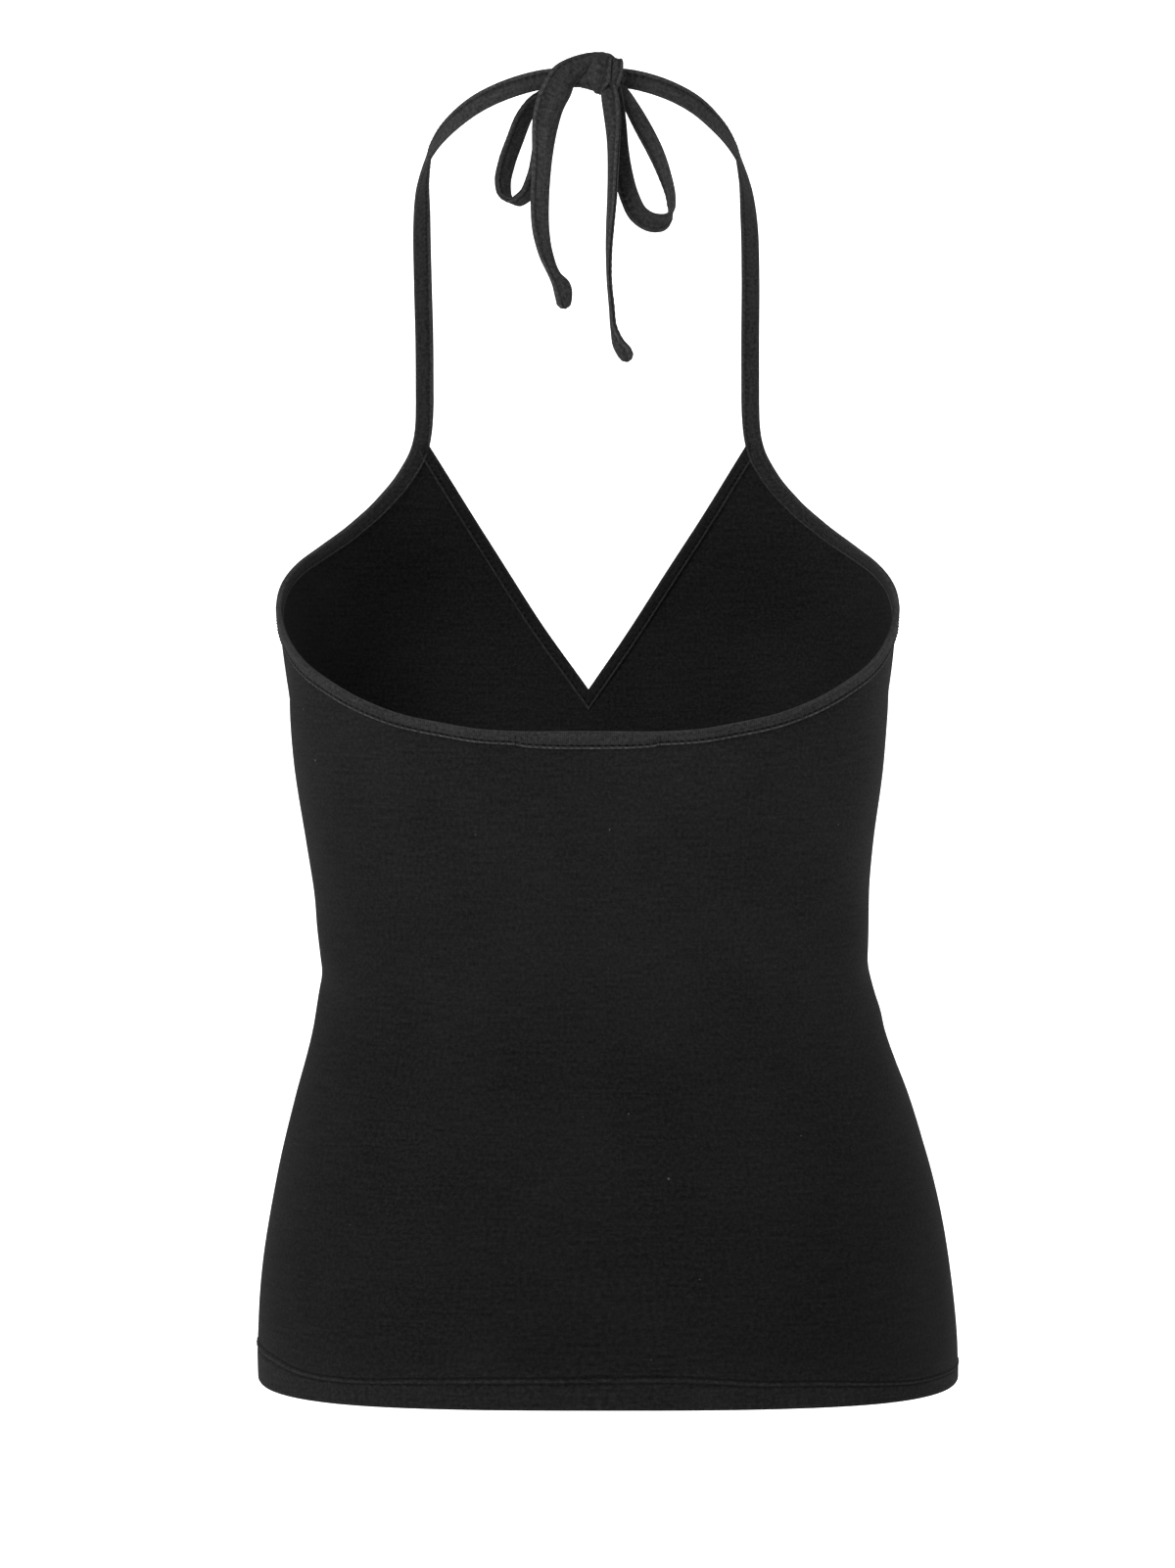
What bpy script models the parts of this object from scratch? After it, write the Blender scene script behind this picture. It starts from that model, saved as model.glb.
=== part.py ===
"""Halter neck top, as worn: a hollow jersey body with a scooped back, a V front and ties knotted in a bow.

+Z is up, the wearer faces -Y, and the wearer's left is +X. The origin is where the ties cross the nape.
All sizes are in metres. Every piece of cloth is an open surface given its wall by a Solidify modifier.
"""

from math import cos, pi, radians, sin

import bmesh
import bpy
import numpy as np
from mathutils.bvhtree import BVHTree

# ---- Driving dimensions -------------------------------------------------------------------------------
SIDE_Y = -0.060          # plane of the side seams, in front of the nape
SEAM_GAP = 0.0003        # between pieces that are sewn together
JERSEY_WALL = 0.0012     # the panels' cloth
STRIP_WALL = 0.0010      # one layer of the binding strip
EDGE_SET_BACK = 0.0023   # the raw edge lies this far inside the binding's fold
HOLD_HALF_GAP = 0.00170  # middle of a binding's leg from the middle of the cloth it holds
HEM_BOTTOM = -0.5830     # fold line of the hem at the sides
HEM_DROP = 0.0006        # how much lower the hem hangs at the centre back and front
HEM_TURN_UP = 0.016      # depth of the turned-up hem
HEM_LAYERS = 0.0016      # between the hem's two layers, outer face to outer face of the fold's path
BINDING_WIDTH = 0.0070   # binding on an edge, from its fold to its stitched edge
FOLD_REACH = 0.0005      # middle of the strip's wall at its fold, in from the finished edge
LEG_REACH = 0.0016       # where its legs begin
MITRE_SET_BACK = 0.0026  # ends of the neckline's bindings from the middle, at the point of the V
PAST_EDGE = 0.010        # how far a panel's form is carried on above its raw edge, to lay strips on
TIE_WIDTH = 0.0088       # the same strip where it is a tie
TIE_HALF_GAP = 0.00065   # middle of a tie's layer from the tie's middle
TIE_THICKNESS = 0.0020   # a free tie end, folded and stitched flat
BUST_HEIGHT = -0.246
BUST_APART = 0.086       # from the centre front
BUST_FORM = 0.012        # how far the front is rounded out there
BUST_SPREAD = (0.040, 0.048)

# One row for each level of the body: the outer outline is a superellipse in two halves.
SECTION_COLUMNS = ("height", "half_width", "shift", "back_depth", "front_depth", "squareness")
SECTIONS = (
    (-0.140, 0.1280, 0.0000, 0.084, 0.064, 2.30),
    (-0.180, 0.1360, 0.0000, 0.091, 0.088, 2.30),
    (-0.223, 0.1409, 0.0000, 0.095, 0.104, 2.30),
    (-0.245, 0.1392, 0.0000, 0.095, 0.108, 2.35),
    (-0.270, 0.1367, -0.0004, 0.094, 0.106, 2.40),
    (-0.305, 0.1337, -0.0007, 0.089, 0.098, 2.40),
    (-0.341, 0.1287, -0.0010, 0.082, 0.090, 2.40),
    (-0.377, 0.1252, -0.0027, 0.076, 0.086, 2.40),
    (-0.400, 0.1252, -0.0038, 0.075, 0.086, 2.40),
    (-0.421, 0.1290, -0.0049, 0.077, 0.089, 2.45),
    (-0.457, 0.1400, -0.0069, 0.086, 0.095, 2.55),
    (-0.493, 0.1493, -0.0080, 0.097, 0.100, 2.70),
    (-0.529, 0.1559, -0.0084, 0.106, 0.104, 2.85),
    (-0.565, 0.1592, -0.0092, 0.111, 0.106, 3.00),
    (-0.590, 0.1597, -0.0092, 0.112, 0.106, 3.00),
)

# Finished edge from the centre back (0 degrees) round under the arm to the point of the front.
SIDE_EDGE_COLUMNS = ("angle", "height")
SIDE_EDGE = (
    (0, -0.2860),
    (10, -0.2860),
    (17, -0.2850),
    (24, -0.2825),
    (33, -0.2790),
    (43, -0.2730),
    (55, -0.2640),
    (63, -0.2580),
    (71, -0.2510),
    (80, -0.2425),
    (90, -0.2320),
    (100, -0.2225),
    (110, -0.2140),
    (120, -0.2060),
    (130, -0.1955),
    (137, -0.1845),
    (142, -0.1725),
    (145, -0.1610),
)
# Finished V neckline: distance out from the centre front, and height.
NECK_EDGE_COLUMNS = ("out", "height")
NECK_EDGE = (
    (0.000, -0.2750),
    (0.020, -0.2465),
    (0.040, -0.2150),
    (0.058, -0.1860),
    (0.068, -0.1695),
    (0.075, -0.1580),
)
NECK_BINDING_ANGLE = 153      # the neckline binding stops here, at the halter strip
POINT_TOP = -0.166            # the front's cut-off point, inside the halter strip
POINT_ANGLE = 146             # the armhole's side of the point ends here and the neckline's begins
POINT_COLUMNS = (141.5, 144.5, 147, 149)

# Neck tie from the front's point to the knot: its middle, and which way its outer face looks.
TIE_COLUMNS = ("x", "y", "z", "azimuth", "elevation")
NECK_TIE = (
    (0.0757, -0.1185, -0.1400, 166, 28),
    (0.0752, -0.1060, -0.1120, 163, 36),
    (0.0748, -0.0910, -0.0840, 156, 44),
    (0.0736, -0.0730, -0.0600, 138, 48),
    (0.0710, -0.0540, -0.0420, 100, 36),
    (0.0662, -0.0360, -0.0300, 74, 20),
    (0.0575, -0.0190, -0.0195, 50, 10),
    (0.0460, -0.0080, -0.0106, 28, 5),
    (0.0330, -0.0022, -0.0048, 12, 2),
    (0.0200, -0.0004, -0.0014, 4, 0),
)
KNOT_END = {1: -0.0018, -1: 0.0114}   # where each neck tie meets the knot, wearer's left and right
TIE_STATION = 0.0090                 # spacing of a halter strip's stations

# Free tie ends: the middle of the ribbon, its width, and the direction that its width lies in.
RIBBON_COLUMNS = ("x", "y", "z", "width", "azimuth", "elevation")
LEFT_LOOP = (
    (0.0076, 0.0046, -0.0036, 0.0050, 10, -60),
    (0.0160, 0.0044, -0.0085, 0.0070, 30, -35),
    (0.0240, 0.0040, -0.0150, 0.0086, 48, -15),
    (0.0312, 0.0034, -0.0250, 0.0088, 52, -4),
    (0.0362, 0.0034, -0.0370, 0.0088, 50, 0),
    (0.0378, 0.0050, -0.0470, 0.0088, 45, 4),
    (0.0362, 0.0074, -0.0530, 0.0088, 40, 10),
    (0.0320, 0.0092, -0.0556, 0.0088, 40, 14),
    (0.0270, 0.0100, -0.0530, 0.0088, 44, 12),
    (0.0228, 0.0100, -0.0450, 0.0088, 52, 6),
    (0.0196, 0.0096, -0.0320, 0.0086, 56, 0),
    (0.0160, 0.0096, -0.0180, 0.0070, 54, -20),
    (0.0078, 0.0094, -0.0072, 0.0046, 30, -50),
)
RIGHT_LOOP = (
    (-0.0152, 0.0042, -0.0030, 0.0046, -10, -60),
    (-0.0215, 0.0046, -0.0110, 0.0070, -45, -20),
    (-0.0262, 0.0040, -0.0200, 0.0080, -60, -8),
    (-0.0305, 0.0038, -0.0320, 0.0084, -50, 0),
    (-0.0342, 0.0038, -0.0440, 0.0086, -30, 4),
    (-0.0362, 0.0046, -0.0540, 0.0088, -14, 10),
    (-0.0350, 0.0066, -0.0612, 0.0088, -10, 34),
    (-0.0302, 0.0090, -0.0645, 0.0088, -20, 52),
    (-0.0248, 0.0104, -0.0615, 0.0088, -50, 40),
    (-0.0205, 0.0106, -0.0545, 0.0088, -66, 20),
    (-0.0176, 0.0100, -0.0440, 0.0088, -70, 6),
    (-0.0164, 0.0094, -0.0320, 0.0086, -70, 0),
    (-0.0158, 0.0090, -0.0200, 0.0072, -70, 0),
    (-0.0150, 0.0088, -0.0085, 0.0046, -60, 0),
)
LEFT_TAIL = (
    (-0.0098, 0.0060, 0.0088, 0.0066, 0, 0),
    (-0.0030, 0.0076, 0.0094, 0.0076, -4, 0),
    (0.0046, 0.0100, 0.0080, 0.0084, -16, 0),
    (0.0102, 0.0130, 0.0036, 0.0090, -42, 0),
    (0.0142, 0.0158, -0.0040, 0.0096, -66, 6),
    (0.0172, 0.0172, -0.0130, 0.0104, -82, 4),
    (0.0190, 0.0174, -0.0220, 0.0104, -90, 2),
    (0.0202, 0.0168, -0.0330, 0.0092, -92, 0),
    (0.0208, 0.0162, -0.0450, 0.0086, -92, 0),
    (0.0206, 0.0158, -0.0570, 0.0086, -92, 0),
    (0.0192, 0.0156, -0.0690, 0.0086, -92, -6),
    (0.0166, 0.0158, -0.0800, 0.0084, -92, -12),
    (0.0132, 0.0164, -0.0900, 0.0080, -92, -16),
    (0.0106, 0.0168, -0.0970, 0.0090, -92, -14),
    (0.0094, 0.0170, -0.1040, 0.0104, -92, -8),
)
RIGHT_TAIL = (
    (-0.0090, 0.0112, -0.0058, 0.0064, 80, 0),
    (-0.0104, 0.0146, -0.0120, 0.0080, 72, 0),
    (-0.0113, 0.0162, -0.0200, 0.0090, 62, 0),
    (-0.0118, 0.0172, -0.0300, 0.0090, 48, 0),
    (-0.0112, 0.0174, -0.0420, 0.0088, 36, 0),
    (-0.0104, 0.0170, -0.0540, 0.0086, 28, 0),
    (-0.0094, 0.0162, -0.0660, 0.0086, 24, 0),
    (-0.0091, 0.0154, -0.0780, 0.0086, 22, 0),
    (-0.0098, 0.0148, -0.0900, 0.0086, 24, 0),
    (-0.0108, 0.0146, -0.1010, 0.0086, 32, 0),
    (-0.0120, 0.0146, -0.1100, 0.0086, 48, 6),
    (-0.0142, 0.0148, -0.1170, 0.0092, 66, 20),
    (-0.0174, 0.0150, -0.1222, 0.0100, 76, 34),
)
# The short turn of tie that stands up beside the knot.
KNOT_STUB = (
    (-0.0136, 0.0122, -0.0040, 0.0050, 80, 0),
    (-0.0140, 0.0128, 0.0014, 0.0054, 80, 0),
    (-0.0141, 0.0114, 0.0060, 0.0054, 80, 0),
    (-0.0140, 0.0088, 0.0076, 0.0052, 80, 0),
    (-0.0138, 0.0062, 0.0062, 0.0050, 80, 0),
)
RIBBON_STATION = 0.0040
CORE_CENTRE = (-0.0048, 0.0058, -0.0002)
CORE_SIZE = (0.0204, 0.0080, 0.0096)
WRAP_CENTRE = (-0.0066, 0.0058, -0.0002)
WRAP_RADII = (0.0053, 0.0061)      # middle of the turn's cloth, back to front and up and down
WRAP_WIDTH = 0.0078
WRAP_STEPS = 20

BACK_COLUMNS = 32
ARM_COLUMNS = 10
NECK_COLUMNS = 7
PANEL_ROWS = 14
ROW_CROWDING = 1.35      # rows lie closer together towards the top edge
HEM_FOLD_STEPS = 3


# ---- The general figure that the cloth lies on --------------------------------------------------------
def read(table, columns, name):
    return np.array([row[columns.index(name)] for row in table], float)


def smooth(knots, values, at):
    """Cubic through rising knots, each with the slope between its neighbours."""
    slopes = np.gradient(values, knots, axis=0)
    at = np.clip(at, knots[0], knots[-1])
    i = np.clip(np.searchsorted(knots, at) - 1, 0, len(knots) - 2)
    span = knots[i + 1] - knots[i]
    t = (at - knots[i]) / span
    if values.ndim > 1:
        span, t = span[:, None], t[:, None]
    return (
        values[i] * (2 * t**3 - 3 * t**2 + 1)
        + values[i + 1] * (3 * t**2 - 2 * t**3)
        + span * slopes[i] * (t**3 - 2 * t**2 + t)
        + span * slopes[i + 1] * (t**3 - t**2)
    )


def section(name, height):
    knots = read(SECTIONS, SECTION_COLUMNS, "height")[::-1]
    return smooth(knots, read(SECTIONS, SECTION_COLUMNS, name)[::-1], height)


def signed_power(value, power):
    return np.sign(value) * np.abs(value) ** power


def depth_at(out, front, height):
    """How deep the body is in front or behind, with the soft bust form where out is the way from the middle."""
    spread_out, spread_up = BUST_SPREAD
    bust = np.exp(-(((np.abs(out) - BUST_APART) / spread_out) ** 2) - ((height - BUST_HEIGHT) / spread_up) ** 2)
    in_front = section("front_depth", height) + BUST_FORM * bust
    return np.where(front, in_front, section("back_depth", height))


def on_body(angle, height):
    """Points of the outer surface. The angle runs from centre back (0) over the wearer's left side (90)."""
    turn = np.radians(angle)
    height = np.asarray(height, float) + 0 * turn
    power = 2 / section("squareness", height)
    out = section("half_width", height) * signed_power(np.sin(turn), power)
    along = signed_power(np.cos(turn), power)
    y = SIDE_Y + depth_at(out, along < 0, height) * along
    return np.stack([out + section("shift", height), y, height], axis=-1)


def angle_at(points):
    """The angle of a point near the surface, from how far out and how far back it is for its height."""
    x, y, height = np.moveaxis(points, -1, 0)
    power = section("squareness", height) / 2
    out = x - section("shift", height)
    across = signed_power(out / section("half_width", height), power)
    return np.degrees(np.arctan2(across, signed_power((y - SIDE_Y) / depth_at(out, y < SIDE_Y, height), power)))


def body_normals(angle, height):
    step = 0.4
    rise = 0.001
    round_way = on_body(angle + step, height) - on_body(angle - step, height)
    up_way = on_body(angle, height + rise) - on_body(angle, height - rise)
    normal = np.cross(up_way, round_way)
    return normal / np.linalg.norm(normal, axis=-1, keepdims=True)


def side_edge(angle):
    knots = read(SIDE_EDGE, SIDE_EDGE_COLUMNS, "angle")
    return smooth(knots, read(SIDE_EDGE, SIDE_EDGE_COLUMNS, "height"), np.abs(angle))


def neck_edge_at(out):
    knots = read(NECK_EDGE, NECK_EDGE_COLUMNS, "out")
    return smooth(knots, read(NECK_EDGE, NECK_EDGE_COLUMNS, "height"), out)


def neck_edge(angle):
    """Height of the V at an angle: the height and the distance out settle each other in a few rounds."""
    height = np.full(np.shape(angle), NECK_EDGE[2][1])
    for _ in range(12):
        out = np.abs(on_body(angle, height)[..., 0] - section("shift", height))
        height = neck_edge_at(out)
    return height


# ---- Making pieces ------------------------------------------------------------------------------------
def clear_scene():
    for obj in list(bpy.data.objects):
        bpy.data.objects.remove(obj, do_unlink=True)


def cloth_material(name, colour, roughness):
    material = bpy.data.materials.new(name)
    material.use_nodes = True
    shader = material.node_tree.nodes["Principled BSDF"]
    shader.inputs["Base Color"].default_value = (*colour, 1)
    shader.inputs["Roughness"].default_value = roughness
    shader.inputs["Metallic"].default_value = 0
    return material


def add_object(name, mesh, material, collection):
    mesh.materials.append(material)
    mesh.shade_smooth()
    mesh.set_sharp_from_angle(angle=radians(50))
    obj = bpy.data.objects.new(name, mesh)
    collection.objects.link(obj)
    return obj


def quads_of(rows, columns, closed=False):
    index = np.arange(rows * columns).reshape(rows, columns)
    if closed:
        index = np.concatenate([index, index[:1]])
    corners = [index[:-1, :-1], index[:-1, 1:], index[1:, 1:], index[1:, :-1]]
    return np.stack(corners, axis=-1).reshape(-1, 4)


def halved(points, quads):
    """Each quad cut along its shorter diagonal, which keeps slanting rows true to the surface."""
    first, second, third, last = (points[quads[:, k]] for k in range(4))
    direct = np.linalg.norm(third - first, axis=1) <= np.linalg.norm(last - second, axis=1)
    turned = np.where(direct[:, None], quads, np.roll(quads, 1, axis=1))
    return np.concatenate([turned[:, [0, 1, 2]], turned[:, [0, 2, 3]]])


def sheet(name, grid, outward, wall, offset, material, collection, closed=False):
    """A grid of points as an open surface with a wall. Its faces are turned to look along outward."""
    points = grid.reshape(-1, 3)
    quads = quads_of(*grid.shape[:2], closed)
    first, second, _, last = (points[quads[:, k]] for k in range(4))
    looks = np.cross(second - first, last - first)
    if (looks * outward.reshape(-1, 3)[quads[:, 0]]).sum() < 0:
        quads = quads[:, ::-1]
    mesh = bpy.data.meshes.new(name)
    mesh.from_pydata(points.tolist(), [], halved(points, quads).tolist())
    obj = add_object(name, mesh, material, collection)
    wall_modifier = obj.modifiers.new("wall", "SOLIDIFY")
    wall_modifier.thickness = wall
    wall_modifier.offset = offset
    wall_modifier.use_even_offset = True
    return obj


def unit(vectors):
    return vectors / np.linalg.norm(vectors, axis=-1, keepdims=True)


def square_to(vectors, along):
    """Vectors turned square to the direction along."""
    return unit(vectors - (vectors * along).sum(axis=-1, keepdims=True) * along)


def looking(azimuth, elevation):
    """Directions from an azimuth, 0 to the back and 90 to the wearer's left, and an elevation."""
    azimuth, elevation = np.radians(azimuth), np.radians(elevation)
    level = np.cos(elevation)
    return np.stack([np.sin(azimuth) * level, np.cos(azimuth) * level, np.sin(elevation)], axis=-1)


def resample(values, spacing):
    """Rows whose first three columns are a place, spaced evenly along a smooth curve through them."""
    steps = np.linalg.norm(np.diff(values[:, :3], axis=0), axis=1)
    run = np.concatenate([[0], np.cumsum(steps)])
    count = int(round(run[-1] / spacing))
    return smooth(run, values, np.linspace(0, run[-1], count + 1))


# ---- Panels -------------------------------------------------------------------------------------------
def raw_edge(angle, edge):
    """The panel's own edge, set back from the finished edge at right angles to it."""
    step = 0.5
    run = on_body(angle + step, edge(angle + step)) - on_body(angle - step, edge(angle - step))
    slope = run[..., 2] / np.hypot(run[..., 0], run[..., 1])
    return edge(angle) - EDGE_SET_BACK * np.sqrt(1 + slope**2)


def hem_fold_height(angles):
    return HEM_BOTTOM - HEM_DROP * np.cos(np.radians(angles)) ** 2


def panel_rows(angles, tops):
    """Rows of the cloth's outer face from the hem to the raw top edge."""
    start = hem_fold_height(angles) + HEM_LAYERS / 2
    shares = 1 - (1 - np.arange(PANEL_ROWS + 1) / PANEL_ROWS) ** ROW_CROWDING
    return [start + (tops - start) * share for share in shares]


def panel_grid(angles, tops):
    """Rows from the inner edge of the turned-up hem, round its fold, and up the cloth to the top."""
    bottoms = hem_fold_height(angles)
    radius = HEM_LAYERS / 2
    folds = [(HEM_TURN_UP, HEM_LAYERS), (HEM_TURN_UP / 2, HEM_LAYERS)]
    for step in range(HEM_FOLD_STEPS):
        turn = pi * step / HEM_FOLD_STEPS
        folds.append((radius - radius * sin(turn), radius + radius * cos(turn)))
    rows, outward = [], []
    for rise, depth in folds:
        height = bottoms + rise
        normal = unit(body_normals(angles, height) * [1, 1, 0])
        rows.append(on_body(angles, height) - depth * normal)
        outward.append(normal if depth < radius else -normal)
    for height in panel_rows(angles, tops):
        rows.append(on_body(angles, height))
        outward.append(body_normals(angles, height))
    return np.array(rows), np.array(outward)


def back_columns():
    angles = np.linspace(-90, 90, BACK_COLUMNS + 1)
    return angles, raw_edge(angles, side_edge)


def front_columns():
    """Columns over the front from the wearer's left seam to the right one, closer at the points."""
    arm = np.linspace(90, 138, ARM_COLUMNS)
    neck = np.linspace(153, 180, NECK_COLUMNS)
    half = np.concatenate([arm, POINT_COLUMNS, neck])
    tops = np.where(half < POINT_ANGLE, raw_edge(half, side_edge), raw_edge(half, neck_edge))
    tops = np.minimum(tops, POINT_TOP)
    return np.concatenate([half, 360 - half[-2::-1]]), np.concatenate([tops, tops[-2::-1]])


def facets(columns, seam):
    """A panel's outer face as a tree of its facets, carried on past its raw edge and its seams."""
    angles, tops = (np.concatenate([[2 * v[0] - v[1]], v, [2 * v[-1] - v[-2]]]) for v in columns)
    heights = [*panel_rows(angles, tops), tops + PAST_EDGE]
    grid = np.array([on_body(angles, height) for height in heights]) + [0, seam, 0]
    points = grid.reshape(-1, 3)
    return BVHTree.FromPolygons(points.tolist(), halved(points, quads_of(*grid.shape[:2])).tolist())


def on_cloth(cloth, points):
    """Points moved straight on to a panel's facets, and the way the panel looks there."""
    laid = np.array([cloth.find_nearest(point)[0] for point in points.tolist()])
    return laid, body_normals(angle_at(laid), laid[:, 2])


def back_panel(material, collection):
    grid, outward = panel_grid(*back_columns())
    grid[..., 1] += SEAM_GAP / 2
    return sheet("back_panel", grid, outward, JERSEY_WALL, -1, material, collection)


def front_panel(material, collection):
    grid, outward = panel_grid(*front_columns())
    grid[..., 1] -= SEAM_GAP / 2
    return sheet("front_panel", grid, outward, JERSEY_WALL, -1, material, collection)


# ---- Bindings and halter strips -----------------------------------------------------------------------
def holding_rows(cloth, angles, heights, side, width):
    """Stations of a strip folded over a panel's edge: outer leg, the fold, and the inner leg."""
    edge, _ = on_cloth(cloth, on_body(angles, heights))
    along = unit(np.gradient(edge, axis=0))
    inward = side * np.cross(body_normals(angles, heights), along)
    grid, facing = [], []
    for reach, leg in ((None, 1), (LEG_REACH, 1), (FOLD_REACH, 0), (LEG_REACH, -1), (None, -1)):
        across = width if reach is None else np.full(len(width), reach)
        laid, normal = on_cloth(cloth, edge + inward * across[:, None])
        grid.append(laid + (leg * HOLD_HALF_GAP - JERSEY_WALL / 2) * normal)
        facing.append(leg * normal if leg else -inward)
    return np.stack(grid, 1), np.stack(facing, 1), along


def tie_rows(path, outward, side, width, half_gap):
    """Stations of the same strip where it holds nothing and is folded shut. The path is its middle."""
    along = unit(np.gradient(path, axis=0))
    out = square_to(outward, along)
    inward = side * np.cross(out, along)
    grid, facing = [], []
    for reach, leg in ((None, 1), (LEG_REACH, 1), (FOLD_REACH, 0), (LEG_REACH, -1), (None, -1)):
        across = np.full(len(path), (width if reach is None else reach) - width / 2)
        grid.append(path + inward * across[:, None] + out * (leg * half_gap)[:, None])
        facing.append(leg * out if leg else -inward)
    return np.stack(grid, 1), np.stack(facing, 1)


def back_binding(material, collection):
    columns = back_columns()
    spacing = 180 / BACK_COLUMNS
    angles = np.concatenate([[-90 - spacing], columns[0], [90 + spacing]])
    width = np.full(len(angles), BINDING_WIDTH)
    cloth = facets(columns, SEAM_GAP / 2)
    grid, facing, along = holding_rows(cloth, angles, side_edge(angles), 1, width)
    grid[1] += SEAM_GAP * along[1]
    grid[-2] -= SEAM_GAP * along[-2]
    return sheet("back_binding", grid[1:-1], facing[1:-1], STRIP_WALL, 0, material, collection)


def halter_strip(name, side, material, collection):
    """Armhole binding from the side seam to the front's point, then the neck tie to the knot."""
    angles = np.concatenate([np.linspace(90, 138, ARM_COLUMNS), [141, 143.5, 145]])
    angles = np.concatenate([[2 * angles[0] - angles[1]], angles])
    width = np.interp(angles, [110, 145], [BINDING_WIDTH, TIE_WIDTH])
    cloth = facets(front_columns(), -SEAM_GAP / 2)
    arm, arm_facing, along = holding_rows(cloth, side * angles, side_edge(angles), side, width)
    arm[1] += SEAM_GAP * along[1]
    place = np.array([row[:3] for row in NECK_TIE])
    place = np.concatenate([place, [[KNOT_END[side], 0, -0.0004]]]) * [side, 1, 1]
    azimuth = side * np.concatenate([read(NECK_TIE, TIE_COLUMNS, "azimuth"), [0]])
    elevation = np.concatenate([read(NECK_TIE, TIE_COLUMNS, "elevation"), [0]])
    start = (arm[-1, 0] + arm[-1, -1]) / 2 + (arm[-1, 2] - (arm[-1, 0] + arm[-1, -1]) / 2) / 2
    rows = np.hstack([place, looking(azimuth, elevation)])
    rows = np.concatenate([[[*start, *arm_facing[-1, 0]]], rows])
    rows = resample(rows, TIE_STATION)
    half_gap = np.full(len(rows), TIE_HALF_GAP)
    half_gap[0] = HOLD_HALF_GAP
    tie, tie_facing = tie_rows(rows[:, :3], unit(rows[:, 3:]), side, TIE_WIDTH, half_gap)
    grid = np.concatenate([arm[1:], tie[1:]])
    facing = np.concatenate([arm_facing[1:], tie_facing[1:]])
    return sheet(name, grid, facing, STRIP_WALL, 0, material, collection)


def neck_binding(name, side, material, collection):
    """From the mitre at the point of the V up to where the halter strip covers its end."""
    angles = np.linspace(180, NECK_BINDING_ANGLE, 2 * NECK_COLUMNS - 1)
    height = neck_edge(angles)
    angles = np.where(side < 0, 360 - angles, angles)
    width = np.full(len(angles), BINDING_WIDTH)
    cloth = facets(front_columns(), -SEAM_GAP / 2)
    grid, facing, along = holding_rows(cloth, angles, height, -side, width)
    to_middle = section("shift", height[:1]) + side * MITRE_SET_BACK - grid[0][:, :1]
    grid[0] += along[0] * to_middle / along[0][0]
    return sheet(name, grid, facing, STRIP_WALL, 0, material, collection)


# ---- The bow ------------------------------------------------------------------------------------------
def ribbon(name, table, material, collection):
    """A tie end: a flat strip along its route, its width lying as the table says."""
    rows = resample(np.array(table, float), RIBBON_STATION)
    path, width = rows[:, :3], rows[:, 3:4]
    along = unit(np.gradient(path, axis=0))
    across = square_to(looking(rows[:, 4], rows[:, 5]), along)
    grid = np.stack([path - across * width / 2, path + across * width / 2], axis=1)
    facing = np.repeat(np.cross(along, across)[:, None], 2, axis=1)
    return sheet(name, grid, facing, TIE_THICKNESS, 0, material, collection)


def knot_core(material, collection):
    """The turns inside the knot, as one soft lump."""
    mesh = bpy.data.meshes.new("knot_core")
    cage = bmesh.new()
    bmesh.ops.create_uvsphere(cage, u_segments=16, v_segments=8, radius=0.5)
    bmesh.ops.scale(cage, vec=CORE_SIZE, verts=cage.verts)
    bmesh.ops.translate(cage, vec=CORE_CENTRE, verts=cage.verts)
    cage.to_mesh(mesh)
    cage.free()
    return add_object("knot_core", mesh, material, collection)


def knot_wrap(material, collection):
    """The turn of tie that wraps the knot: a ring about the X axis, pinched narrower underneath."""
    grid, facing = [], []
    for step in range(WRAP_STEPS):
        turn = 2 * pi * step / WRAP_STEPS
        out = np.array([0, cos(turn), sin(turn)])
        middle = np.array(WRAP_CENTRE) + out * [0, *WRAP_RADII]
        half = WRAP_WIDTH / 2 * (0.80 + 0.20 * sin(turn))
        grid.append([middle - [half, 0, 0], middle + [half, 0, 0]])
        facing.append([out, out])
    return sheet(
        "knot_wrap", np.array(grid), np.array(facing), TIE_THICKNESS, 0, material, collection, closed=True
    )


# ---- Assembly -----------------------------------------------------------------------------------------
def main():
    clear_scene()
    collection = bpy.data.collections.new("halter_neck_top")
    bpy.context.scene.collection.children.link(collection)
    black = (0.012, 0.012, 0.013)
    strip_black = (0.017, 0.017, 0.018)
    back_panel(cloth_material("back_jersey", black, 0.95), collection)
    front_panel(cloth_material("front_jersey", black, 0.95), collection)
    back_binding(cloth_material("back_binding_jersey", strip_black, 0.9), collection)
    for side, word in ((1, "left"), (-1, "right")):
        strip = cloth_material(f"{word}_strip_jersey", strip_black, 0.9)
        halter_strip(f"{word}_halter_strip", side, strip, collection)
        binding = cloth_material(f"{word}_neck_binding_jersey", strip_black, 0.9)
        neck_binding(f"{word}_neck_binding", side, binding, collection)
    for name, table in (
        ("left_loop", LEFT_LOOP),
        ("right_loop", RIGHT_LOOP),
        ("left_tail", LEFT_TAIL),
        ("right_tail", RIGHT_TAIL),
        ("knot_stub", KNOT_STUB),
    ):
        ribbon(name, table, cloth_material(f"{name}_jersey", strip_black, 0.9), collection)
    knot_core(cloth_material("knot_core_jersey", strip_black, 0.9), collection)
    knot_wrap(cloth_material("knot_wrap_jersey", strip_black, 0.9), collection)


main()
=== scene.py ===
"""Halter neck top as worn, seen from behind: black cotton jersey, bound edges, ties in a bow at the nape.

Metres, +Z up, +Y out of the wearer's back, +X to the wearer's left. The ties cross at the origin.
"""

from math import cos, pi, radians, sin

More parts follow.
